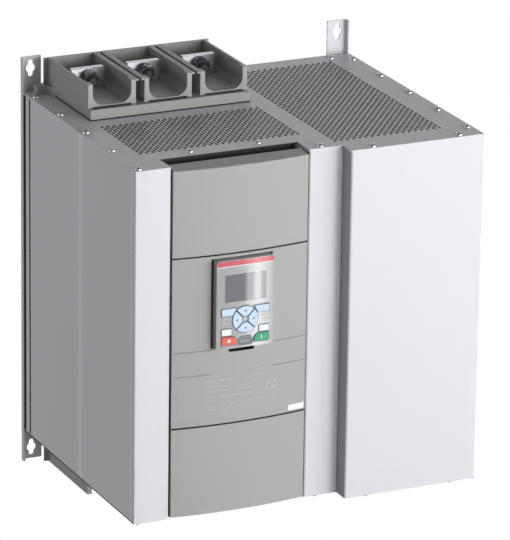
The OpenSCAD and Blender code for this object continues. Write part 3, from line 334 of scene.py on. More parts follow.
# Paper label under a clear film: bright white, half matte.
LABEL_PAPER = Finish("label_paper_white", "#f7f7f6", 0.45, drift=0.01, drift_mm=5, grain_mm=0.5, grain=0.05)


def mesh_object(name: str, bm: bmesh.types.BMesh, *finishes: Finish) -> bpy.types.Object:
    """Turn a bmesh into an object of the scene.

    Args:
        name: Name of the object and of its mesh.
        bm: The shape, in metres; it is freed.
        *finishes: Finish of each material index.

    Returns:
        The new object, at the origin.
    """
    mesh = bpy.data.meshes.new(name)
    bm.to_mesh(mesh)
    bm.free()
    for finish in finishes:
        mesh.materials.append(finish.material())
    made = bpy.data.objects.new(name, mesh)
    bpy.context.scene.collection.objects.link(made)
    return made


def plain(obj: bpy.types.Object) -> bpy.types.Object:
    """Replace an object's mesh by its evaluated one and remove the modifiers.

    Args:
        obj: The object with live modifiers.

    Returns:
        The same object with a plain mesh.
    """
    bpy.context.view_layer.update()
    evaluated = obj.evaluated_get(bpy.context.evaluated_depsgraph_get())
    old = obj.data
    obj.data = bpy.data.meshes.new_from_object(evaluated)
    obj.modifiers.clear()
    name = old.name
    bpy.data.meshes.remove(old)
    obj.data.name = name
    return obj


def smooth(obj: bpy.types.Object, degrees: float) -> None:
    """Shade an object's curved faces smooth and keep its flat faces flat.

    Args:
        obj: The object.
        degrees: Largest angle at which two faces of a curve meet.
    """
    bm = bmesh.new()
    bm.from_mesh(obj.data)
    least, most = math.radians(FLAT_ANGLE), math.radians(degrees)
    for edge in bm.edges:
        edge.smooth = edge.calc_face_angle(math.pi) < most
    for face in bm.faces:
        face.smooth = any(least < edge.calc_face_angle(0.0) < most for edge in face.edges)
    bm.to_mesh(obj.data)
    bm.free()


def settle(obj: bpy.types.Object, body: str, slot: Slot, *nodes: str) -> bpy.types.Object:
    """Let a finished piece ride on a body and stand for CAD nodes.

    Args:
        obj: The piece.
        body: Body that the piece moves with.
        slot: Record slot of the piece; not used.
        *nodes: CAD nodes that the piece stands for.

    Returns:
        The same piece.
    """
    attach(obj, body)
    if nodes:
        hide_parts(*nodes)
    LOG.info("%s on %s: %d faces", obj.name, body, len(obj.data.polygons))
    return obj


def body_of(node: str) -> str:
    """Name of the body that a CAD node belongs to."""
    return frame["nodes"][node]["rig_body"]


def dress(node: str, finish: Finish) -> None:
    """Give a CAD node, whose shape stays, a finish.

    Args:
        node: Name of the CAD node.
        finish: The finish.
    """
    obj = frame["nodes"][node]
    if not obj.material_slots:
        obj.data.materials.append(finish.material())
    for slot in obj.material_slots:
        slot.material = finish.material()


def merged_copy(node: str) -> bmesh.types.BMesh:
    """Copy a CAD node's mesh, with its loose triangles merged into flat faces.

    Args:
        node: Name of the CAD node.

    Returns:
        The merged shape.
    """
    bm = bmesh.new()
    bm.from_mesh(frame["nodes"][node].data)
    bmesh.ops.remove_doubles(bm, verts=bm.verts, dist=TINY)
    bmesh.ops.dissolve_limit(bm, angle_limit=math.radians(MERGE_ANGLE), verts=bm.verts, edges=bm.edges)
    return bm


def rounded(piece: bpy.types.Object, edge_mm: float) -> bpy.types.Object:
    """Round an object's sharp edges and leave a plain mesh.

    Args:
        piece: The object.
        edge_mm: Radius of the rounded edges.

    Returns:
        The same object.
    """
    bevel = piece.modifiers.new("edges", "BEVEL")
    bevel.width = edge_mm * MM
    bevel.segments = EDGE_STEPS
    bevel.limit_method = "ANGLE"
    bevel.angle_limit = math.radians(SHARP)
    plain(piece)
    smooth(piece, EDGE_CURVE)
    return piece


def softened(node: str, slot: Slot, edge_mm: float, *finishes: Finish, side_index: int = 0,
             reshape: Optional[Callable[[Vector], Vector]] = None) -> bpy.types.Object:
    """Make a copy of a CAD node with its edges rounded, which stands for the node.

    Args:
        node: Name of the CAD node.
        slot: Record slot of the piece.
        edge_mm: Radius of the rounded edges.
        *finishes: Finish of each material index.
        side_index: Material index of the faces that don't look to the front.
        reshape: Gives the new place in the body, in mm, of each point.

    Returns:
        The rounded piece.
    """
    bm = merged_copy(node)
    if reshape:
        for vert in bm.verts:
            vert.co = place(*reshape(vert.co / MM + CORNER))
    bm.normal_update()
    for face in bm.faces:
        face.material_index = 0 if face.normal.y < -FACING else side_index
    piece = rounded(mesh_object(node + "_moulded", bm, *finishes), edge_mm)
    return settle(piece, body_of(node), slot, node)


def skin(bm: bmesh.types.BMesh, rings: Sequence[Sequence[bmesh.types.BMVert]],
         around: bool = False) -> list[bmesh.types.BMFace]:
    """Join rings of points by faces, each ring to the next; a ring of one point is a pole.

    Args:
        bm: The shape that has the points.
        rings: The rings, all in the same sense.
        around: Whether the last ring joins the first.

    Returns:
        The new faces.
    """
    faces = []
    following = [*rings[1:], rings[0]] if around else rings[1:]
    for low, high in zip(rings, following):
        steps = max(len(low), len(high))
        for i in range(steps):
            j = (i + 1) % steps
            corners = [low[i % len(low)], low[j % len(low)], high[j % len(high)], high[i % len(high)]]
            faces.append(bm.faces.new(list(dict.fromkeys(corners))))
    return faces


def points_round(bm: bmesh.types.BMesh, radii: Sequence[float], height: float) -> list[bmesh.types.BMVert]:
    """Add points round the Z axis, at even angles.

    Args:
        bm: The shape to add to.
        radii: Distance of each point from the axis, in mm.
        height: Height of the points, in mm.

    Returns:
        The new points.
    """
    turns = [math.tau * i / len(radii) for i in range(len(radii))]
    return [bm.verts.new((r * MM * math.cos(t), r * MM * math.sin(t), height * MM))
            for r, t in zip(radii, turns)]


def prism(bm: bmesh.types.BMesh, corners: Sequence[Vector], offset: Vector, material: int = 0) -> None:
    """Add a closed prism to a shape.

    Args:
        bm: The shape to add to.
        corners: The front face's corners.
        offset: From the front face to the back face.
        material: Material index of its faces.
    """
    front = [bm.verts.new(c) for c in corners]
    back = [bm.verts.new(Vector(c) + offset) for c in corners]
    faces = [bm.faces.new(front), bm.faces.new(back[::-1])] + skin(bm, [front, back])
    for face in faces:
        face.material_index = material
    bmesh.ops.recalc_face_normals(bm, faces=faces)


def block(bm: bmesh.types.BMesh, low: Point3, high: Point3) -> None:
    """Add a closed block.

    Args:
        bm: The shape to add to.
        low: Its left front bottom corner in the body, in mm.
        high: Its right back top corner.
    """
    (x0, y0, z0), (x1, y1, z1) = low, high
    corners = [place(x, y0, z) for x, z in ((x0, z0), (x1, z0), (x1, z1), (x0, z1))]
    prism(bm, corners, Vector((0, (y1 - y0) * MM, 0)))


def lathe(profile: Sequence[Point2], steps: int) -> bmesh.types.BMesh:
    """Turn a profile of (radius, height) points in mm round the Z axis.

    Args:
        profile: Points from one end of the axis to the other.
        steps: Number of steps in a turn.

    Returns:
        The turned closed shape, in metres.
    """
    bm = bmesh.new()
    skin(bm, [points_round(bm, [radius] * (steps if radius else 1), height) for radius, height in profile])
    bmesh.ops.recalc_face_normals(bm, faces=bm.faces)
    return bm


class NodeKit:
    """Geometry node trees with named inputs, and the modifier that runs them."""

    def __init__(self, name: str) -> None:
        """Start a tree with a geometry input and output.

        Args:
            name: Name of the tree.
        """
        self.tree = bpy.data.node_groups.new(name, "GeometryNodeTree")
        self.tree.interface.new_socket("Geometry", in_out="OUTPUT", socket_type="NodeSocketGeometry")
        self.identifiers: dict[str, str] = {}
        self.socket("Geometry", "NodeSocketGeometry")

    def socket(self, name: str, kind: str) -> None:
        """Add a named input of a kind."""
        made = self.tree.interface.new_socket(name, in_out="INPUT", socket_type=kind)
        self.identifiers[name] = made.identifier

    def node(self, kind: str, inputs: Optional[dict[Any, Any]] = None, **settings: Any) -> bpy.types.Node:
        """Add a node to the tree; see add_node."""
        return add_node(self.tree, kind, inputs, **settings)

    def finish(self, geometry: bpy.types.NodeSocket, material: bpy.types.NodeSocket,
               edge_material: Optional[bpy.types.NodeSocket] = None) -> None:
        """End the tree in real geometry with its material.

        Args:
            geometry: The geometry, with instances.
            material: The material input.
            edge_material: The material input of the faces whose edge attribute is true, which paints shade on
                them.
        """
        real = self.node("GeometryNodeRealizeInstances", {0: geometry})
        dressed = self.node("GeometryNodeSetMaterial", {"Geometry": real.outputs[0], "Material": material})
        if edge_material:
            edges = self.node("GeometryNodeInputNamedAttribute", {"Name": SHADE_WALL_MARK}, data_type="BOOLEAN")
            dressed = self.node("GeometryNodeSetMaterial", {
                "Geometry": dressed.outputs[0], "Selection": edges.outputs[0], "Material": edge_material})
        self.node("NodeGroupOutput", {0: dressed.outputs[0]})

    def run(self, obj: bpy.types.Object, values: dict[str, Any]) -> bpy.types.Object:
        """Run the tree on an object and leave a plain mesh.

        Args:
            obj: The object whose mesh is the tree's geometry input.
            values: Value of each named input.

        Returns:
            The same object with the result.
        """
        modifier = obj.modifiers.new(self.tree.name, "NODES")
        modifier.node_group = self.tree
        for name, value in values.items():
            modifier[self.identifiers[name]] = value
        return plain(obj)


def staggered_field_tree() -> NodeKit:
    """Build the tree that repeats one cell in staggered rows, which then run along Y.

    Returns:
        The tree with inputs Columns, Rows, Pitch, Row pitch, Middle, Material and Edge material, the last
        painting shade on the slot walls.
    """
    kit = NodeKit("staggered_field")
    for name, kind in (("Columns", "NodeSocketInt"), ("Rows", "NodeSocketInt"), ("Pitch", "NodeSocketFloat"),
                       ("Row pitch", "NodeSocketFloat"), ("Middle", "NodeSocketVector"),
                       ("Material", "NodeSocketMaterial"), ("Edge material", "NodeSocketMaterial")):
        kit.socket(name, kind)
    given = kit.node("NodeGroupInput").outputs

    def maths(operation: str, first: Any, second: Any = 0.0) -> bpy.types.NodeSocket:
        """Give the result of one sum."""
        return kit.node("ShaderNodeMath", {0: first, 1: second}, operation=operation).outputs[0]

    spans = [maths("MULTIPLY", maths("SUBTRACT", given[count], 1.0), given[pitch])
             for count, pitch in (("Columns", "Pitch"), ("Rows", "Row pitch"))]
    grid = kit.node("GeometryNodeMeshGrid", {
        "Size X": spans[0], "Size Y": spans[1], "Vertices X": given["Columns"], "Vertices Y": given["Rows"]})
    at = kit.node("ShaderNodeSeparateXYZ", {0: kit.node("GeometryNodeInputPosition").outputs[0]})
    column, row = (maths("ROUND", maths("DIVIDE", maths("ADD", at.outputs[i], maths("MULTIPLY", span, 0.5)),
                                        given[pitch]))
                   for i, (span, pitch) in enumerate(zip(spans, ("Pitch", "Row pitch"))))
    odd = maths("MODULO", row, 2.0)
    last = maths("COMPARE", column, maths("SUBTRACT", given["Columns"], 1.0))
    kit.tree.nodes[-1].inputs[2].default_value = 0.1
    spare = kit.node("GeometryNodeDeleteGeometry", {
        "Geometry": grid.outputs[0], "Selection": maths("MULTIPLY", odd, last)})
    half_pitch = maths("MULTIPLY", given["Pitch"], 0.5)
    shift = kit.node("ShaderNodeCombineXYZ", {0: maths("MULTIPLY", odd, half_pitch)})
    moved = kit.node("GeometryNodeSetPosition", {"Geometry": spare.outputs[0], "Offset": shift.outputs[0]})
    cells = kit.node("GeometryNodeInstanceOnPoints", {
        "Points": moved.outputs[0], "Instance": given["Geometry"]})
    put = kit.node("GeometryNodeTransform", {
        "Geometry": cells.outputs[0], "Translation": given["Middle"], "Rotation": (0.0, 0.0, math.pi / 2)})
    kit.finish(put.outputs[0], given["Material"], given["Edge material"])
    return kit


def fastener_tree() -> NodeKit:
    """Build the tree that puts one fastener on each point, each turned by chance about its axis.

    Returns:
        The tree with inputs Fastener, Stance, Seed and Material.
    """
    kit = NodeKit("fasteners_on_points")
    for name, kind in (("Fastener", "NodeSocketObject"), ("Stance", "NodeSocketRotation"),
                       ("Seed", "NodeSocketInt"), ("Material", "NodeSocketMaterial")):
        kit.socket(name, kind)
    given = kit.node("NodeGroupInput").outputs
    one = kit.node("GeometryNodeObjectInfo", {"Object": given["Fastener"]})
    chance = kit.node("FunctionNodeRandomValue", {3: math.tau, "Seed": given["Seed"]})
    about = kit.node("FunctionNodeAxisAngleToRotation", {"Axis": (0, 0, 1), "Angle": chance.outputs[1]})
    turned = kit.node("FunctionNodeRotateRotation", {
        "Rotation": given["Stance"], "Rotate By": about.outputs[0]}, rotation_space="LOCAL")
    copies = kit.node("GeometryNodeInstanceOnPoints", {
        "Points": given["Geometry"], "Instance": one.outputs["Geometry"], "Rotation": turned.outputs[0]})
    kit.finish(copies.outputs[0], given["Material"])
    return kit


def grown(points: Sequence[Vector], distance: float) -> list[Vector]:
    """Move a closed outline's edges outwards.

    Args:
        points: The outline, counterclockwise.
        distance: How far each edge moves.

    Returns:
        The grown outline, with as many points.
    """
    made = []
    for before, here, after in zip(points[-1:] + points[:-1], points, points[1:] + points[:1]):
        sides = [(b - a).normalized() for a, b in ((before, here), (here, after))]
        outward = [Vector((s.y, -s.x)) for s in sides]
        middle = (outward[0] + outward[1]).normalized()
        made.append(here + middle * distance / max(0.5, middle.dot(outward[0])))
    return made


def points_object(name: str, places: Iterable[Vector]) -> bpy.types.Object:
    """Make an object of loose points.

    Args:
        name: Name of the object.
        places: The points, in metres.

    Returns:
        The new object.
    """
    bm = bmesh.new()
    for where in places:
        bm.verts.new(where)
    return mesh_object(name, bm)


def joined(name: str, parts: Sequence[bpy.types.Object], *finishes: Finish) -> bpy.types.Object:
    """Join plain mesh objects into one and remove the parts.

    Args:
        name: Name of the new object.
        parts: The objects to join, whose materials are among the finishes'.
        *finishes: Finish of each material index of the whole.

    Returns:
        The new object.
    """
    bm = bmesh.new()
    for part in parts:
        start = len(bm.faces)
        bm.from_mesh(part.data)
        bm.faces.ensure_lookup_table()
        names = [f.name for f in finishes]
        order = [names.index(m.name) if m else 0 for m in part.data.materials] or [0]
        for face in bm.faces[start:]:
            face.material_index = order[face.material_index]
        mesh = part.data
        bpy.data.objects.remove(part)
        bpy.data.meshes.remove(mesh)
    bmesh.ops.remove_doubles(bm, verts=bm.verts, dist=2 * TINY)
    return mesh_object(name, bm, *finishes)


@dataclass
class PerforatedField:
    """A field of staggered slots in an end cover, in columns that run to the back."""

    low: Point2
    high: Point2
    pitch: float = 10.0
    column_pitch: float = 4.0
    slot: Point2 = (7.6, 2.4)
    end_steps: int = 6

    def __post_init__(self) -> None:
        """Work out how many slots fit and where the field starts; an odd count keeps both sides alike."""
        self.slots = int((self.high[1] - self.low[1]) / self.pitch)
        self.columns = (int((self.high[0] - self.low[0]) / self.column_pitch) - 1) // 2 * 2 + 1
        self.middle = ((self.low[0] + self.high[0]) / 2, (self.low[1] + self.high[1]) / 2)
        self.x0 = self.middle[0] - self.columns * self.column_pitch / 2
        self.y0 = self.middle[1] - self.slots * self.pitch / 2

    def column_ends(self, column: int) -> Point2:
        """First and last y of a column's cells."""
        inset = self.pitch / 2 if column % 2 else 0.0
        return self.y0 + inset, self.y0 + self.slots * self.pitch - inset

    def outline(self) -> Loop:
        """Give the stepped outline of the cells, with a point at each cell's corner.

        Returns:
            The outline's points in order.
        """
        def along(column: int, x: float) -> Loop:
            """Give the points along one edge of a column.

            Args:
                column: Number of the column.
                x: Where the edge lies.

            Returns:
                The points, from the front to the back.
            """
            first, last = self.column_ends(column)
            half_steps = round((last - first) / (self.pitch / 2))
            return [(x, first + i * self.pitch / 2) for i in range(half_steps + 1)]

        loop = along(0, self.x0)
        for column in range(self.columns - 1):
            x = self.x0 + (column + 1) * self.column_pitch
            loop += [(x, self.column_ends(column)[1]), (x, self.column_ends(column + 1)[1])]
        loop += along(self.columns - 1, self.x0 + self.columns * self.column_pitch)[::-1]
        for column in range(self.columns - 1, 0, -1):
            x = self.x0 + column * self.column_pitch
            loop += [(x, self.column_ends(column)[0]), (x, self.column_ends(column - 1)[0])]
        return loop

    def cell(self, thickness: float) -> bmesh.types.BMesh:
        """Make one cell: a rectangle of plate with a round-ended slot along X.

        Args:
            thickness: Thickness of the plate.

        Returns:
            The cell, in metres, with its middle at the origin and open sides.
        """
        half_x, half_y = self.pitch / 2, self.column_pitch / 2
        rim = [(-half_x, -half_y), (0, -half_y), (half_x, -half_y), (half_x, half_y), (0, half_y),
               (-half_x, half_y)]
        radius = self.slot[1] / 2
        reach = self.slot[0] / 2 - radius
        turns = [math.pi * (i / self.end_steps - 0.5) for i in range(self.end_steps + 1)]
        right_end = [(reach + radius * math.cos(t), radius * math.sin(t)) for t in turns]
        hole = right_end + [(-x, -y) for x, y in right_end]
        return plate([rim, hole], thickness, walls=[False, True])


def plate(loops: Sequence[Loop], thickness: float, walls: Sequence[bool]) -> bmesh.types.BMesh:
    """Make a flat plate from its outline and the outlines of its openings.

    Args:
        loops: Outlines in mm, the outer one first.
        thickness: Thickness in mm, downwards from height 0.
        walls: For each outline, whether its edge gets a wall.

    Returns:
        The plate, in metres.
    """
    bm = bmesh.new()
    mark = bm.faces.layers.bool.new(SHADE_WALL_MARK)
    edges, rings = [], []
    for loop in loops:
        ring = [bm.verts.new((x * MM, y * MM, 0)) for x, y in loop]
        rings.append(ring)
        edges += [bm.edges.new((ring[i], ring[(i + 1) % len(ring)])) for i in range(len(ring))]
    bmesh.ops.triangle_fill(bm, edges=edges, use_beauty=True, use_dissolve=False, normal=(0, 0, 1))
    upper = list(bm.faces)
    for face in upper:
        face.normal_update()
        if face.normal.z < 0:
            face.normal_flip()
    down = Vector((0, 0, -thickness * MM))
    twin = {vert: bm.verts.new(vert.co + down) for ring in rings for vert in ring}
    for face in upper:
        bm.faces.new([twin[v] for v in reversed(face.verts)])
    for ring, wanted in zip(rings, walls):
        if not wanted:
            continue
        outer = ring is rings[0]
        area = sum(a.co.x * b.co.y - b.co.x * a.co.y for a, b in zip(ring, ring[1:] + ring[:1]))
        flip = (area > 0) != outer
        for a, b in zip(ring, ring[1:] + ring[:1]):
            corners = (a, b, twin[b], twin[a]) if flip else (b, a, twin[a], twin[b])
            # Painted shade: the walls of the openings are marked for the dark steel.
            bm.faces.new(corners)[mark] = not outer
    return bm


@dataclass
class EndCovers:
    """The perforated top and bottom covers, folded from powder-coated sheet."""

    sheet: float = 1.5
    left_strip_w: float = 43.8
    centre_x0: float = 218.2
    module_x0: float = 260.8
    module_step: float = 23.3
    notch_d: float = 32.0
    back: float = 333.7
    bar_x: tuple[float, ...] = (59.5, 131.5, 203.5)
    bar_half: Point2 = (22.0, 5.0)
    bar_y: float = 281.0
    fields: tuple[PerforatedField, ...] = field(default_factory=lambda: (
        PerforatedField((30.0, 53.0), (234.0, 178.0)),
        PerforatedField((254.0, 13.0), (401.0, 315.0)),
    ))

    def outlines(self) -> list[Loop]:
        """Give the outlines of a cover.

        Returns:
            The outer outline, then those of the fields and of the bars' cut-outs.
        """
        outer = [(0.0, 0.0), (self.left_strip_w, 0.0), (self.left_strip_w, self.notch_d),
                 (self.centre_x0, self.notch_d), (self.centre_x0, 0.0), (self.module_x0, 0.0),
                 (self.module_x0, -self.module_step), (BODY_W, -self.module_step), (BODY_W, self.back),
                 (0.0, self.back)]
        half_x, half_y = self.bar_half
        bars = [[(x - half_x, self.bar_y - half_y), (x + half_x, self.bar_y - half_y),
                 (x + half_x, self.bar_y + half_y), (x - half_x, self.bar_y + half_y)] for x in self.bar_x]
        return [outer] + [f.outline() for f in self.fields] + bars

    def build(self, end: End, tree: NodeKit) -> bpy.types.Object:
        """Build one end's cover.

        Args:
            end: Which end of the body.
            tree: The tree that repeats the cells.

        Returns:
            The finished cover.
        """
        loops = self.outlines()
        walls = [True] + [False] * len(self.fields) + [True] * len(self.bar_x)
        parts = [mesh_object("cover_plate", plate(loops, self.sheet, walls))]
        for perforated in self.fields:
            cells = mesh_object("cover_cells", perforated.cell(self.sheet))
            middle = Vector((*perforated.middle, 0.0)) * MM
            parts.append(tree.run(cells, {
                "Columns": perforated.slots, "Rows": perforated.columns, "Pitch": perforated.pitch * MM,
                "Row pitch": perforated.column_pitch * MM, "Middle": middle,
                "Material": POWDER_COAT.material(), "Edge material": SHADE_STEEL.material()}))
        node = "top_cover" if end is End.TOP else "bottom_cover"
        cover = joined(node + "_perforated", parts, POWDER_COAT, SHADE_STEEL)
        near = self.sheet / 2 * MM
        # Painted shade: the notch's front wall, and on the bottom cover the left outer edge, take the dark
        # steel.
        for face in cover.data.polygons:
            notch_shade = face.normal.y < -SQUARE and abs(face.center.y - self.notch_d * MM) < near
            left_edge_shade = face.normal.x < -SQUARE and abs(face.center.x) < near
            if notch_shade or (left_edge_shade and end is End.BOTTOM):
                face.material_index = 1
        lift = Matrix.Translation(place(0, 0, end.z(BODY_H)))
        cover.data.transform(lift @ Matrix.Diagonal((1, 1, end.value, 1)))
        if end is End.BOTTOM:
            cover.data.flip_normals()
        smooth(cover, SLOT_CURVE)
        return settle(cover, "enclosure", Slot.SHEET, node)


@dataclass
class CoverScrews:
    """Pan head screws with a cross recess, along the edges of both end covers."""

    pan: tuple[Point2, ...] = ((0.0, 0.0), (4.5, 0.0), (4.5, 0.9), (4.25, 1.6), (3.5, 2.4), (2.6, 2.85),
                               (1.2, 3.0), (0.0, 3.0))
    pan_steps: int = 24
    cross_half: Point2 = (2.5, 0.45)
    cross_depth: float = 1.5
    clear: float = 0.5
    first_seed: int = 3
    edge_x: Point2 = (7.0, 426.0)
    edge_y: tuple[float, ...] = (7.5, 83.0, 158.5, 234.0, 309.5)
    others: tuple[Point2, ...] = ((88.0, 46.0), (174.0, 46.0), (235.2, 7.0), (290.8, -16.3), (403.0, -16.3),
                                  (403.0, 324.0))

    def head(self) -> bpy.types.Object:
        """Make one head: a pan with a cross pressed into it.

        Returns:
            The head, standing on the origin.
        """
        screw = mesh_object("pan_head", lathe(self.pan, self.pan_steps), ZINC_PLATE)
        top = self.pan[-1][1] + self.clear
        wide, thin = self.cross_half
        cross = bmesh.new()
        for turn in (0.0, math.pi / 2):
            spin = Matrix.Rotation(turn, 3, "Z")
            corners = [spin @ Vector((x, y, top)) * MM
                       for x, y in ((-wide, -thin), (wide, -thin), (wide, thin), (-wide, thin))]
            prism(cross, corners, Vector((0, 0, -(self.cross_depth + self.clear) * MM)))
        cutter = mesh_object("cross", cross)
        cut = screw.modifiers.new("cross", "BOOLEAN")
        cut.operation, cut.object, cut.solver = "DIFFERENCE", cutter, "EXACT"
        cut.use_self = True
        plain(screw)
        bpy.data.objects.remove(cutter)
        return screw

    def build(self, tree: NodeKit) -> bpy.types.Object:
        """Build all the screws.

        Args:
            tree: The tree that puts fasteners on points.

        Returns:
            The finished screws.
        """
        places = [(x, y) for x in self.edge_x for y in self.edge_y] + list(self.others)
        one = self.head()
        parts = []
        for seed, end in enumerate(End, self.first_seed):
            points = points_object("screw_places", [place(x, y, end.z(BODY_H)) for x, y in places])
            stance = (0.0 if end is End.TOP else math.pi, 0.0, 0.0)
            parts.append(tree.run(points, {"Fastener": one, "Stance": stance, "Seed": seed,
                                           "Material": ZINC_PLATE.material()}))
        bpy.data.objects.remove(one)
        screws = joined("cover_screw_heads", parts, ZINC_PLATE)
        smooth(screws, TURNED_CURVE)
        return settle(screws, "enclosure", Slot.ZINC, "cover_screws")


@dataclass
class Enclosure:
    """Sheet metal body: folded panels, posts and rails."""

    painted: tuple[str, ...] = ("centre_front_strip", "rear_panel", "left_mounting_rail", "right_mounting_rail",
                                "left_rear_post", "right_rear_post")
    step_x: float = 260.8
    # Where the white painted highlight line lies, across and in depth.
    highlight_line: tuple[Point2, Point2] = ((257.6, 260.7), (-1.2, 0.1))
    sheet: float = 1.5
    fold_r: float = 2.95
    fold_fit: float = 0.01
    tight_r: float = 1.3
    strip_x1: float = 43.8
    groove_y: float = 160.5
    groove_half: float = 0.7
    groove_x: Point2 = (0.2, 0.6)
    beads: tuple[Point3, ...] = ((160.5, 14.0, 0.42), (11.0, 6.0, 0.14))
    bead_steps: int = 8
    bead_reach: float = 1.6
    # Black painted shade lines in the rear grooves, across and in depth.
    painted_shade_lines: tuple[tuple[Point2, Point2], ...] = (((-0.03, 1.5), (314.1, 315.4)), ((0.8, 2.4), (331.2, 333.6)))
    painted_line_ends: float = 3.0
    covers: EndCovers = field(default_factory=EndCovers)
    screws: CoverScrews = field(default_factory=CoverScrews)

    def tighten(self, vert: bmesh.types.BMVert, corner_x: float, inward: float) -> None:
        """Move a point of a front fold's outer face onto a tighter fold.

        Args:
            vert: The point.
            corner_x: Where the fold's corner would be.
            inward: 1 if the sheet goes to the right of the corner, -1 if to the left.
        """
        at = vert.co / MM + CORNER
        u, v = (at.x - corner_x) * inward, at.y
        off_arc = abs(math.hypot(u - self.fold_r, v - self.fold_r) - self.fold_r)
        if max(u, v) > self.fold_r + self.fold_fit or off_arc > 2 * self.fold_fit:
            return
        share = self.tight_r / self.fold_r
        u, v = (self.tight_r + (c - self.fold_r) * share for c in (u, v))
        vert.co = place(corner_x + u * inward, v, at.z)

    def left_side(self) -> bpy.types.Object:
        """Build the left side with its pressed beads and crisp folds.

        Returns:
            The finished panel.
        """
        bm = merged_copy("left_side_panel")
        for vert in bm.verts:
            at = vert.co / MM + CORNER
            if abs(at.y - self.groove_y) < self.groove_half and self.groove_x[0] < at.x < self.groove_x[1]:
                vert.co.x = place(0, 0, 0).x
            self.tighten(vert, 0.0, 1)
            self.tighten(vert, self.strip_x1, -1)
        bmesh.ops.dissolve_degenerate(bm, dist=TINY, edges=bm.edges)
        for middle, half, depth in self.beads:
            for step in range(-self.bead_steps, self.bead_steps + 1):
                geometry = bm.verts[:] + bm.edges[:] + bm.faces[:]
                bmesh.ops.bisect_plane(bm, geom=geometry, dist=TINY / 10, plane_no=(0, 1, 0),
                                       plane_co=place(0, middle + half * step / self.bead_steps, 0))
            for vert in bm.verts:
                at = vert.co / MM + CORNER
                away = (at.y - middle) / half
                if at.x < self.bead_reach and abs(away) < 1:
                    vert.co.x += depth * MM * (1 + math.cos(math.pi * away)) / 2
        # Painted highlight: the coat turns lighter in soft bands over the beads.
        panel = mesh_object("left_side_beaded", bm, BEAD_HIGHLIGHT_COAT)
        smooth(panel, FOLD_CURVE)
        return settle(panel, "enclosure", Slot.SHEET, "left_side_panel")

    def module(self) -> bpy.types.Object:
        """Build the right module's cover, whose recessed return takes a darker coat as painted shade.

        Returns:
            The finished cover.
        """
        bm = merged_copy("right_module_cover")
        bm.normal_update()
        # Painted shade: the face of the step that looks left takes the darker coat.
        for face in bm.faces:
            at = face.calc_center_median() / MM + CORNER
            face.material_index = int(face.normal.x < -SQUARE and abs(at.x - self.step_x) < self.sheet / 3)
        cover = mesh_object("right_module_folded", bm, POWDER_COAT, STEP_SHADE_COAT)
        smooth(cover, FOLD_CURVE)
        return settle(cover, "enclosure", Slot.SHEET, "right_module_cover")

    def lay_highlight_line(self) -> None:
        """Lay a white strip along the centre strip, in the corner beside the module, as a painted highlight
        line.
        """
        bm = bmesh.new()
        (x0, x1), (y0, y1) = self.highlight_line
        block(bm, (x0, y0, self.painted_line_ends), (x1, y1, BODY_H - self.painted_line_ends))
        settle(mesh_object("centre_strip_trim", bm, HIGHLIGHT_LINE_WHITE), "enclosure", Slot.SHEET)

    def rear_seals(self) -> None:
        """Lay black strips of painted shade in the grooves between the side panels, the rear posts and the
        rails.
        """
        painted_shade = bmesh.new()
        for (x0, x1), (y0, y1) in self.painted_shade_lines:
            for left, right in ((x0, x1), (BODY_W - x1, BODY_W - x0)):
                block(painted_shade, (left, y0, self.painted_line_ends), (right, y1, BODY_H - self.painted_line_ends))
        settle(mesh_object("rear_seals", painted_shade, SHADE_BLACK), "enclosure", Slot.BLACK)

    def build(self) -> None:
        """Dress the plain panels and the front frame, in dark steel as painted shade, and build the other
        panels, the white painted highlight line, the black painted shade lines and the screws.
        """
        for node in self.painted:
            dress(node, POWDER_COAT)
        self.left_side()
        self.module()
        self.lay_highlight_line()
        self.rear_seals()
        # Painted shade: the frame seen behind the covers is dressed in dark steel.
        dress("front_frame", SHADE_STEEL)
        cells = staggered_field_tree()
        for end in End:
            self.covers.build(end, cells)
        self.screws.build(fastener_tree())


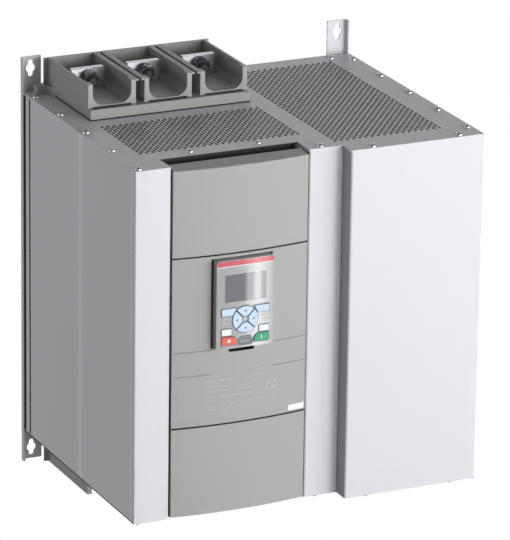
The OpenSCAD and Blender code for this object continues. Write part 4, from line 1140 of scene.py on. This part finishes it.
@dataclass
class FrontCovers:
    """Bowed plastic covers with their printed fields."""

    x0: float = 45.4
    w: float = 171.2
    bow: float = 6.5
    proud: float = 2.2
    edge: float = 0.9
    patch_step: float = 4.0
    print_lift: float = 0.04
    print_rows: tuple[Box, ...] = (
        (85.0, 119.0, 166.2, 1.5), (139.0, 165.0, 166.6, 0.8), (86.0, 114.0, 158.8, 1.3),
        (124.0, 160.0, 158.0, 1.0), (133.0, 153.0, 153.4, 1.3), (86.0, 113.0, 154.0, 1.3),
        (85.0, 102.0, 147.4, 0.9), (106.0, 146.0, 146.4, 1.6), (85.0, 98.0, 142.6, 0.8),
        (117.0, 160.0, 137.0, 0.9), (85.0, 100.0, 132.0, 0.8), (106.0, 118.0, 131.4, 1.6),
        (124.0, 156.0, 132.4, 1.2), (106.0, 118.0, 126.4, 1.6), (85.0, 96.0, 126.0, 0.8))
    print_blocks: tuple[Box, ...] = (
        (165.0, 168.6, 153.4, 156.6), (173.4, 177.0, 154.4, 158.0), (163.8, 167.0, 146.6, 150.4),
        (170.0, 173.4, 147.0, 150.6), (174.8, 178.2, 147.4, 150.8), (173.0, 175.0, 137.4, 140.0))
    bar_length: Point2 = (1.6, 5.5)
    bar_gap: Point2 = (0.6, 1.4)
    least_bar: float = 0.8
    print_seed: int = 5
    groove_lines: tuple[Point3, ...] = (
        (48.6, 93.6, 204.8), (168.6, 214.0, 204.8), (48.6, 92.0, 175.0), (172.0, 214.0, 175.0))
    groove_half: float = 0.45
    pale_line: Point3 = (92.6, 171.4, 174.6)
    pale_half: float = 0.3
    seam_z: tuple[Point2, ...] = ((110.75, 113.35), (318.2, 320.45))
    seam_inset: float = 0.4
    seam_y: Point2 = (0.12, 2.0)
    side_gaps: tuple[Point2, ...] = ((43.9, 45.3), (216.7, 218.1))
    side_gap_y: Point2 = (0.3, 2.4)
    side_gap_ends: float = 3.0
    top_z: float = 428.0
    top_slope: float = 3.0
    top_band: float = 0.5
    front_band: float = 1.0
    pocket: Box = (94.5, 167.5, 207.0, 314.5)
    pocket_close: float = 0.4
    pocket_sides: float = 2.2
    pocket_top: float = 1.0
    pocket_lift: float = 0.1
    label: Box = (193.9, 214.9, 114.8, 121.6)
    label_lift: float = 0.12

    def front_y(self, x: float) -> float:
        """Work out the depth of the bowed front.

        Args:
            x: Where across the body.

        Returns:
            The depth there.
        """
        radius = self.w ** 2 / (8 * self.bow) + self.bow / 2
        across = x - self.x0 - self.w / 2
        return -self.proud - self.bow + radius - math.sqrt(radius ** 2 - across ** 2)

    def sloped(self, at: Vector) -> Vector:
        """Lower a point of the upper cover if it is on the front edge of its upper face.

        Args:
            at: The point.

        Returns:
            Its new place.
        """
        on_edge = at.z > self.top_z - self.top_band and at.y < self.front_y(at.x) + self.front_band
        return Vector((at.x, at.y, at.z - self.top_slope * on_edge))

    def patch(self, bm: bmesh.types.BMesh, box: Box, lift: float, sink: Optional[float] = None) -> None:
        """Add a thin closed patch that follows the bow.

        Args:
            bm: The shape to add to.
            box: Left, right, lower and upper limit.
            lift: How far the patch's front stands in front of the cover.
            sink: How far its back lies behind the cover's front, as far as the lift if not given.
        """
        left, right, low, high = box
        sink = lift if sink is None else sink
        steps = max(2, int((right - left) / self.patch_step))
        rows = []
        for i in range(steps + 1):
            x = left + (right - left) * i / steps
            y = self.front_y(x)
            rows.append([bm.verts.new(place(x, d, z)) for d, z in
                         ((y - lift, low), (y - lift, high), (y + sink, high), (y + sink, low))])
        faces = skin(bm, rows) + [bm.faces.new(rows[0]), bm.faces.new(rows[-1][::-1])]
        bmesh.ops.recalc_face_normals(bm, faces=faces)

    def build(self) -> None:
        """Round the covers' edges, lay the printed fields and the blank label on them, and lay black painted
        shade in their gaps.
        """
        softened("upper_front_cover", Slot.COVER, self.edge, COVER_PLASTIC, reshape=self.sloped)
        for node in ("middle_front_cover", "lower_front_cover"):
            softened(node, Slot.COVER, self.edge, COVER_PLASTIC)
        self.printed()
        self.painted_shade_lines()
        paper = bmesh.new()
        self.patch(paper, self.label, self.label_lift)
        settle(mesh_object("blank_label", paper, LABEL_PAPER), "enclosure", Slot.COVER)

    def printed(self) -> None:
        """Lay rows of short plain bars on the middle cover and shade its grooves."""
        lengths = random.Random(self.print_seed)
        ink = bmesh.new()
        for left, right, middle, height in self.print_rows:
            x = left
            while x < right - self.least_bar:
                stop = min(right, x + lengths.uniform(*self.bar_length))
                self.patch(ink, (x, stop, middle - height / 2, middle + height / 2), self.print_lift)
                x = stop + lengths.uniform(*self.bar_gap)
        for box in self.print_blocks:
            self.patch(ink, box, self.print_lift)
        left, right, z = self.pale_line
        self.patch(ink, (left, right, z - self.pale_half, z + self.pale_half), self.print_lift)
        settle(mesh_object("printed_rating_fields", ink, PALE_INK), "enclosure", Slot.COVER)
        shade = bmesh.new()
        for left, right, z in self.groove_lines:
            self.patch(shade, (left, right, z - self.groove_half, z + self.groove_half), self.print_lift)
        settle(mesh_object("groove_shades", shade, SHADE_INK), "enclosure", Slot.COVER)

    def painted_shade_lines(self) -> None:
        """Lay black strips of painted shade in the gaps round the covers and round the keypad's pocket."""
        painted_shade = bmesh.new()
        left, right = self.x0 + self.seam_inset, self.x0 + self.w - self.seam_inset
        front, back = self.seam_y
        for low, high in self.seam_z:
            self.patch(painted_shade, (left, right, low, high), -front, back)
        front, back = self.side_gap_y
        for x0, x1 in self.side_gaps:
            block(painted_shade, (x0, front, self.side_gap_ends), (x1, back, BODY_H - self.side_gap_ends))
        x0, x1, z0, z1 = self.pocket
        close, wide, top = self.pocket_close, self.pocket_sides, z1 + self.pocket_top
        for box in ((x0 - wide, x0 - close, z0, top), (x1 + close, x1 + wide, z0, top),
                    (x0 - close, x1 + close, z1 + close, top)):
            self.patch(painted_shade, box, self.pocket_lift)
        settle(mesh_object("cover_seals", painted_shade, SHADE_BLACK), "enclosure", Slot.BLACK)


@dataclass
class TerminalBlocks:
    """Line and load terminals: moulded shrouds, plated bars and bolts."""

    phase_x: tuple[float, ...] = (59.5, 131.5, 203.5)
    bar_y: float = 277.0
    bar_t: float = 8.0
    bolt_z: float = 457.5
    bolt_r: float = 6.0
    bolt_front: float = 18.5
    bolt_seed: int = 11
    shank_back: float = 0.1
    shank_front: float = 12.0
    thread_start: float = 12.6
    thread_pitch: float = 1.1
    thread_depth: float = 0.55
    point_h: float = 1.5
    point_in: float = 1.2
    flats: float = 18.0
    hex_steps: int = 24
    head_h: float = 7.4
    head_chamfer: float = 1.0
    nut_z: Point2 = (2.5, 12.4)
    nut_chamfer: float = 1.2
    fit: float = 0.02
    washer: tuple[Point2, ...] = ((6.05, 0.0), (11.0, 0.0), (11.0, 1.4), (9.2, 2.6), (6.05, 2.6), (6.05, 0.0))
    washer_steps: int = 32
    shroud_edge: float = 0.7
    rim_edge: float = 0.4
    bar_edge: float = 0.8
    trough_half: float = 30.5
    pitch: float = 72.0
    trough_y: Point2 = (205.0, 326.2)
    trough_top: float = 472.0
    rim_w: float = 3.7
    rim_t: float = 2.0
    ledge_y: Point2 = (201.2, 204.6)
    shade_h: float = 1.5
    shade_t: float = 0.25
    base_y: float = 196.5
    ledge_z: float = 443.0
    shroud_x: Point2 = (29.0, 234.0)
    ear_front: float = 318.0
    ear_h: float = 11.0
    fillet_r: float = 15.0
    fillet_steps: int = 8
    overlap: float = 0.2
    mouth_in: Point2 = (2.0, 6.0)
    mouth_lift: float = 0.12
    shade_sink: float = 0.1

    def hexagon(self, bm: bmesh.types.BMesh, z0: float, z1: float, bore: float, chamfer: float) -> None:
        """Add a hexagonal head or nut whose end corners are turned off.

        Args:
            bm: The shape to add to.
            z0: Lower end along the bolt.
            z1: Upper end along the bolt.
            bore: Radius that is left for the shank at both ends.
            chamfer: Height of the turned corners.
        """
        apothem, sixth = self.flats / 2, math.pi / 3
        turns = [math.tau * i / self.hex_steps for i in range(self.hex_steps)]
        corners = [apothem / math.cos((t + sixth / 2) % sixth - sixth / 2) for t in turns]
        bored, turned = [bore] * self.hex_steps, [apothem] * self.hex_steps
        levels = ((bored, z0), (turned, z0), (corners, z0 + chamfer), (corners, z1 - chamfer), (turned, z1),
                  (bored, z1))
        skin(bm, [points_round(bm, radii, z) for radii, z in levels], around=True)

    def bolt(self) -> bpy.types.Object:
        """Make one bolt with its flange nut, along Z from the bar's face, with its point up.

        Returns:
            The bolt.
        """
        back, front, radius = -self.bar_t, self.bolt_front, self.bolt_r
        foot = back - self.head_h - self.shank_back
        profile = [(0.0, foot), (radius, foot), (radius, self.shank_front)]
        z = self.thread_start
        while z < front - self.point_h:
            profile += [(radius - self.thread_depth, z), (radius, z + self.thread_pitch / 2)]
            z += self.thread_pitch
        profile += [(radius - self.point_in, front), (0.0, front)]
        bm = lathe(profile, self.hex_steps)
        self.hexagon(bm, back - self.head_h, back, radius - self.fit, self.head_chamfer)
        self.hexagon(bm, *self.nut_z, radius + self.fit, self.nut_chamfer)
        washer = lathe(self.washer, self.washer_steps)
        spare = bpy.data.meshes.new("washer")
        washer.to_mesh(spare)
        washer.free()
        bm.from_mesh(spare)
        bpy.data.meshes.remove(spare)
        bmesh.ops.recalc_face_normals(bm, faces=bm.faces)
        return mesh_object("terminal_bolt", bm, BOLT_PLATE)

    def trim(self, side: str, end: End) -> None:
        """Add the turned rims between the troughs, the ears' fillets, and black strips of painted shade at the
        shroud's foot and in the mouths.

        Args:
            side: Name of the side.
            end: The end of the body that it is on.
        """
        def upright(bm: bmesh.types.BMesh, low: Point3, high: Point3) -> None:
            """Add a block given by its heights at the top end."""
            z0, z1 = sorted((end.z(low[2]), end.z(high[2])))
            block(bm, (low[0], low[1], z0), (high[0], high[1], z1))

        bm = bmesh.new()
        y0, y1 = self.trough_y
        low, high = self.trough_top - self.rim_t, self.trough_top
        for left in self.phase_x[:-1]:
            gap0, gap1 = left + self.trough_half, left + self.pitch - self.trough_half
            for x0, x1 in ((gap0 - self.overlap, gap0 + self.rim_w), (gap1 - self.rim_w, gap1 + self.overlap)):
                upright(bm, (x0, y0, low), (x1, y1, high))
        front, radius = self.ear_front, self.fillet_r
        turns = [math.pi / 2 * i / self.fillet_steps for i in range(self.fillet_steps + 1)]
        for x, away in zip(self.shroud_x, (-1, 1)):
            inner = x - away * self.overlap
            plan = [(inner, front + self.overlap), (x + away * radius, front + self.overlap)]
            plan += [(x + away * radius * (1 - math.sin(t)), front - radius * (1 - math.cos(t))) for t in turns]
            plan.append((inner, front - radius))
            corners = [place(px, py, end.z(BODY_H)) for px, py in plan]
            prism(bm, corners, Vector((0, 0, end.value * self.ear_h * MM)))
        piece = rounded(mesh_object(side + "_shroud_rims", bm, SHROUD_PLASTIC), self.rim_edge)
        settle(piece, "enclosure", Slot.SHROUD)
        # Painted shade: black strips in the mouths' ledges and along the shroud's foot.
        dark = bmesh.new()
        y0, y1 = self.ledge_y
        low, high = self.ledge_z - self.overlap, self.ledge_z + self.mouth_lift
        for x in self.phase_x:
            x0, x1 = x - self.trough_half + self.mouth_in[0], x + self.trough_half - self.mouth_in[1]
            upright(dark, (x0, y0, low), (x1, y1, high))
        x0, x1 = self.shroud_x
        top = BODY_H + self.shade_h
        upright(dark, (x0, self.base_y - self.shade_t, BODY_H), (x1, self.base_y + self.shade_sink, top))
        for x, away in zip(self.shroud_x, (-1, 1)):
            left, right = sorted((x + away * self.shade_t, x - away * self.shade_sink))
            upright(dark, (left, self.base_y, BODY_H), (right, front - radius, top))
        settle(mesh_object(side + "_shroud_seals", dark, SHADE_BLACK), "enclosure", Slot.BLACK)

    def build(self) -> None:
        """Round the shrouds and bars and put the bolts in place."""
        for side, end in (("line", End.TOP), ("load", End.BOTTOM)):
            softened(side + "_terminal_shroud", Slot.SHROUD, self.shroud_edge, SHROUD_PLASTIC)
            self.trim(side, end)
            for number in (1, 2, 3):
                softened(f"{side}_bar_{number}", Slot.TIN, self.bar_edge, TIN_PLATE)
        one = self.bolt()
        places = [place(x, self.bar_y, end.z(self.bolt_z)) for end in End for x in self.phase_x]
        bolts = fastener_tree().run(points_object("terminal_bolt_sets", places), {
            "Fastener": one, "Stance": (math.pi / 2, 0.0, 0.0), "Seed": self.bolt_seed,
            "Material": BOLT_PLATE.material()})
        bpy.data.objects.remove(one)
        smooth(bolts, TURNED_CURVE)
        settle(bolts, "enclosure", Slot.ZINC, "terminal_bolts")


@dataclass
class Keypad:
    """Detachable keypad: case, printed film, window, keys and port flap."""

    cx: float = 131.0
    z0: float = 207.0
    face_y: float = -17.5
    key_y: float = -18.7
    w: float = 73.0
    h: float = 107.5
    ring_z: float = 34.3
    lift: float = 0.05
    case_edge: float = 0.6
    film_edge: float = 0.35
    flap_edge: float = 0.25
    key_edge: float = 0.5
    print_in: float = 0.7
    band_z: float = 101.0
    line_z: Point2 = (99.9, 100.7)
    status_x: float = 24.2
    status_z: Point2 = (36.6, 32.0)
    status_half: Point2 = (3.4, 0.7)
    arrows: dict[str, float] = field(default_factory=lambda: {
        "up_key": 90.0, "left_key": 180.0, "down_key": 270.0, "right_key": 0.0})
    arrow: tuple[Point2, ...] = ((12.6, 0.0), (9.4, 1.9), (9.4, -1.9))
    stop_disc: Point3 = (-20.5, 10.2, 2.0)
    disc_steps: int = 24
    start_bar: Box = (19.9, 21.1, 8.2, 12.2)
    line_in: float = 0.35
    line_out: float = 1.0
    flap_bars: tuple[Box, ...] = (
        (-6.8, 6.8, 10.0, 10.8), (-6.8, -6.0, 4.4, 10.0), (6.0, 6.8, 4.4, 10.0))
    keys: dict[str, tuple[Slot, Finish]] = field(default_factory=lambda: {
        **dict.fromkeys(("left_soft_key", "right_soft_key", "up_key", "left_key", "down_key", "right_key"),
                        (Slot.BLUE_KEY, BLUE_RUBBER)),
        **dict.fromkeys(("info_key", "mode_key"), (Slot.WHITE_KEY, WHITE_RUBBER)),
        "stop_key": (Slot.RED_KEY, RED_RUBBER), "start_key": (Slot.GREEN_KEY, GREEN_RUBBER)})

    def at(self, x: float, z: float, y: float) -> Vector:
        """Point on the keypad, from its lower edge's middle."""
        return place(self.cx + x, y, self.z0 + z)

    def print_shape(self, bm: bmesh.types.BMesh, outline: Loop, y: float, material: int = 0) -> None:
        """Add a thin printed shape on a face of the keypad.

        Args:
            bm: The shape to add to.
            outline: The printed outline.
            y: Depth of the face that carries it.
            material: Material index of the shape.
        """
        corners = [self.at(x, z, y - self.lift) for x, z in outline]
        prism(bm, corners, Vector((0, 2 * self.lift * MM, 0)), material)

    @staticmethod
    def bar(left: float, right: float, low: float, high: float) -> Loop:
        """Outline of an upright rectangle."""
        return [(left, low), (right, low), (right, high), (left, high)]

    def film_print(self) -> None:
        """Lay the band, the line under it and the status marks on the film."""
        edge = self.w / 2 - self.print_in
        bm = bmesh.new()
        self.print_shape(bm, self.bar(-edge, edge, self.band_z, self.h - self.print_in), self.face_y, 0)
        self.print_shape(bm, self.bar(-edge, edge, *self.line_z), self.face_y, 1)
        wide, high = self.status_half
        for x in (-self.status_x, self.status_x):
            for z in self.status_z:
                self.print_shape(bm, self.bar(x - wide, x + wide, z - high, z + high), self.face_y, 2)
        settle(mesh_object("keypad_film_print", bm, RED_INK, WHITE_INK, PALE_INK), "keypad", Slot.FACE)

    def key_print(self, key: str, outline: Loop, ink: Finish) -> None:
        """Lay a mark on a key.

        Args:
            key: CAD node of the key.
            outline: Outline of the mark.
            ink: Finish of the mark.
        """
        bm = bmesh.new()
        self.print_shape(bm, outline, self.key_y)
        settle(mesh_object(key + "_mark", bm, ink), body_of(key), self.keys[key][0])

    def outline_print(self, bm: bmesh.types.BMesh, node: str, inner: float, outer: float) -> None:
        """Add a thin printed line that follows the front outline of a CAD node.

        Args:
            bm: The shape to add to.
            node: Name of the CAD node.
            inner: How far the line's inner edge lies outside the outline.
            outer: How far its outer edge lies outside the outline.
        """
        shape = merged_copy(node)
        shape.normal_update()
        front = max(shape.faces, key=lambda f: (f.normal.y < -SQUARE) * f.calc_area())
        points = [Vector((v.co.x, v.co.z)) for v in front.verts]
        shape.free()
        if sum(a.x * b.y - b.x * a.y for a, b in zip(points, points[1:] + points[:1])) < 0:
            points.reverse()
        rings = []
        for out, sink in ((inner, 1), (outer, 1), (outer, -1), (inner, -1)):
            y = place(0, self.face_y, 0).y - sink * self.lift * MM
            rings.append([bm.verts.new((p.x, y, p.y)) for p in grown(points, out * MM)])
        bmesh.ops.recalc_face_normals(bm, faces=skin(bm, rings, around=True))

    def outlines(self) -> None:
        """Print a slate line round each key on the film, partly the film's printed outline and partly painted
        shade of the gap round the key, and along the flap's edge on the flap.
        """
        film, flap = bmesh.new(), bmesh.new()
        for key in self.keys:
            self.outline_print(film, key, self.line_in, self.line_out)
        settle(mesh_object("key_surrounds", film, SLATE_INK), "keypad", Slot.FACE)
        self.outline_print(flap, "port_flap", -self.line_out, -self.line_in)
        for box in self.flap_bars:
            self.print_shape(flap, self.bar(*box), self.face_y)
        settle(mesh_object("port_flap_mark", flap, SLATE_INK), "port_flap_body", Slot.FACE)

    def build(self) -> None:
        """Build the whole keypad."""
        self.outlines()
        softened("keypad_housing", Slot.GRAPHITE, self.case_edge, GRAPHITE)
        softened("keypad_face", Slot.FACE, self.film_edge, FACE_FILM, GRAPHITE, side_index=1)
        softened("port_flap", Slot.FACE, self.flap_edge, FLAP_PLASTIC)
        dress("display_window", WINDOW)
        dress("keypad_board", BLACK_PLASTIC)
        for key, (slot, finish) in self.keys.items():
            softened(key, slot, self.key_edge, finish)
        self.film_print()
        for key, degrees in self.arrows.items():
            cos, sin = math.cos(math.radians(degrees)), math.sin(math.radians(degrees))
            outline = [(r * cos - s * sin, self.ring_z + r * sin + s * cos) for r, s in self.arrow]
            self.key_print(key, outline, BLUE_INK)
        x, z, radius = self.stop_disc
        turns = [math.tau * i / self.disc_steps for i in range(self.disc_steps)]
        disc = [(x + radius * math.cos(t), z + radius * math.sin(t)) for t in turns]
        self.key_print("stop_key", disc, WHITE_INK)
        self.key_print("start_key", self.bar(*self.start_bar), WHITE_INK)


@dataclass
class Inside:
    """Pieces inside the body, which keep their CAD shapes."""

    finishes: dict[str, Finish] = field(default_factory=lambda: {
        "heat_sink": EXTRUSION, "thyristor_module": BLACK_PLASTIC, "current_transformer": BLACK_PLASTIC,
        "upper_support_rail": INSULATOR, "lower_support_rail": INSULATOR, "left_fan": BLACK_PLASTIC,
        "right_fan": BLACK_PLASTIC, "contactor_housing": INSULATOR, "contactor_coil": BARE_COPPER,
        "contact_carrier": BLACK_PLASTIC, "bypass_links": BARE_COPPER, "control_board": SOLDER_RESIST,
        "control_terminals": TERMINAL_PLASTIC})

    def build(self) -> None:
        """Dress each inner node by the start of its name."""
        for node in frame["nodes"]:
            for start, finish in self.finishes.items():
                if node.startswith(start):
                    dress(node, finish)


@dataclass(frozen=True)
class SoftBox:
    """Soft light that looks at the object, in metres, watts and degrees."""

    name: str
    where: Point3
    size: Point2
    power: float
    aim: Point3 = (0.0, -0.2, 0.0)
    spread: float = 180.0

    def build(self) -> None:
        """Hang the light."""
        data = bpy.data.lights.new(self.name, "AREA")
        data.shape = "RECTANGLE"
        data.size, data.size_y = self.size
        data.energy = self.power
        data.spread = math.radians(self.spread)
        lamp = bpy.data.objects.new(self.name, data)
        lamp.location = self.where
        lamp.rotation_euler = (Vector(self.aim) - Vector(self.where)).to_track_quat("-Z", "Y").to_euler()
        lamp.visible_camera = False
        bpy.context.scene.collection.objects.link(lamp)


@dataclass
class Studio:
    """Pale floor, soft lights and the camera at the photograph's angle."""

    floor_drop: float = 1.1
    floor_half: float = 30.0
    white: str = "#ffffff"
    light_below: float = 0.3
    light_above: float = 0.15
    azimuth: float = -25.34
    elevation: float = 19.05
    roll: float = 0.82
    stand: Point3 = (-2035.6, -4617.3, 2056.7)
    lens: float = 312.5
    sensor: float = 36.0
    clip: Point2 = (0.1, 100.0)
    lights: tuple[SoftBox, ...] = (
        SoftBox("front_box", (1.25, -4.0, 0.6), (2.4, 2.2), 18.4, (0.1, -0.3, 0.4), 60.0),
        SoftBox("right_box", (3.4, -3.0, 0.5), (2.4, 2.2), 60.0),
        SoftBox("left_box", (-3.2, 1.2, 0.3), (1.6, 1.6), 21.5),
        SoftBox("back_card", (1.9, 3.6, 1.75), (2.6, 1.6), 14.0),
        SoftBox("keypad_strip", (1.145, -2.92, -0.94), (0.042, 0.6), 0.36, (-0.0715, -0.361, 0.065)),
        SoftBox("keypad_core", (1.144, -2.92, -0.94), (0.012, 0.6), 0.12, (-0.0715, -0.361, 0.065)))

    def camera(self) -> None:
        """Put the camera where the photograph was taken from."""
        a, e, r = (math.radians(v) for v in (self.azimuth, self.elevation, self.roll))
        back = Vector((math.sin(a) * math.cos(e), -math.cos(a) * math.cos(e), math.sin(e)))
        right = Vector((math.cos(a), math.sin(a), 0.0))
        up = back.cross(right)
        tilted = (right * math.cos(r) + up * math.sin(r), up * math.cos(r) - right * math.sin(r), back)
        data = bpy.data.cameras.new("camera")
        data.lens = self.lens
        data.sensor_width = self.sensor
        data.clip_start, data.clip_end = self.clip
        camera = bpy.data.objects.new("camera", data)
        camera.matrix_world = Matrix.Translation(place(*self.stand)) @ Matrix(tilted).transposed().to_4x4()
        bpy.context.scene.collection.objects.link(camera)
        bpy.context.scene.camera = camera

    def surroundings(self) -> None:
        """Lay the floor and set the even light around it."""
        bm = bmesh.new()
        bmesh.ops.create_grid(bm, x_segments=1, y_segments=1, size=self.floor_half)
        bmesh.ops.translate(bm, verts=bm.verts, vec=(0, 0, CAD_BOX[0].z - self.floor_drop))
        floor = mesh_object("floor", bm)
        pale = bpy.data.materials.new("pale_floor")
        pale.use_nodes = True
        pale.node_tree.nodes.clear()
        glow = add_node(pale.node_tree, "ShaderNodeEmission", {"Color": linear(self.white), "Strength": 1.0})
        add_node(pale.node_tree, "ShaderNodeOutputMaterial", {"Surface": glow.outputs[0]})
        floor.data.materials.append(pale)
        floor.visible_diffuse = floor.visible_glossy = floor.visible_shadow = False
        floor.visible_transmission = False
        world = bpy.data.worlds.new("studio")
        bpy.context.scene.world = world
        world.use_nodes = True
        tree = world.node_tree
        tree.nodes.clear()
        direction = add_node(tree, "ShaderNodeTexCoord").outputs["Generated"]
        height = add_node(tree, "ShaderNodeSeparateXYZ", {0: direction})
        shade = add_node(tree, "ShaderNodeMapRange", {
            "Value": height.outputs[2], 1: -1.0, 2: 1.0, 3: self.light_below, 4: self.light_above})
        path = add_node(tree, "ShaderNodeLightPath")
        level = add_node(tree, "ShaderNodeMix", {0: path.outputs["Is Camera Ray"], 2: shade.outputs[0], 3: 1.0})
        sky = add_node(tree, "ShaderNodeBackground", {
            "Color": linear(self.white), "Strength": level.outputs[0]})
        add_node(tree, "ShaderNodeOutputWorld", {"Surface": sky.outputs[0]})

    def build(self) -> None:
        """Set up the camera, the lights and the surroundings."""
        self.camera()
        self.surroundings()
        for light in self.lights:
            light.build()
        bpy.context.scene.view_settings.view_transform = "Standard"


def main() -> None:
    """Build the studio and every sub-assembly in order."""
    logging.basicConfig(level=logging.INFO, format="%(name)s: %(message)s")
    Studio().build()
    for assembly in (Enclosure(), FrontCovers(), TerminalBlocks(), Keypad(), Inside()):
        assembly.build()
        LOG.info("%s done", type(assembly).__name__)


if __name__ == "__main__":
    main()
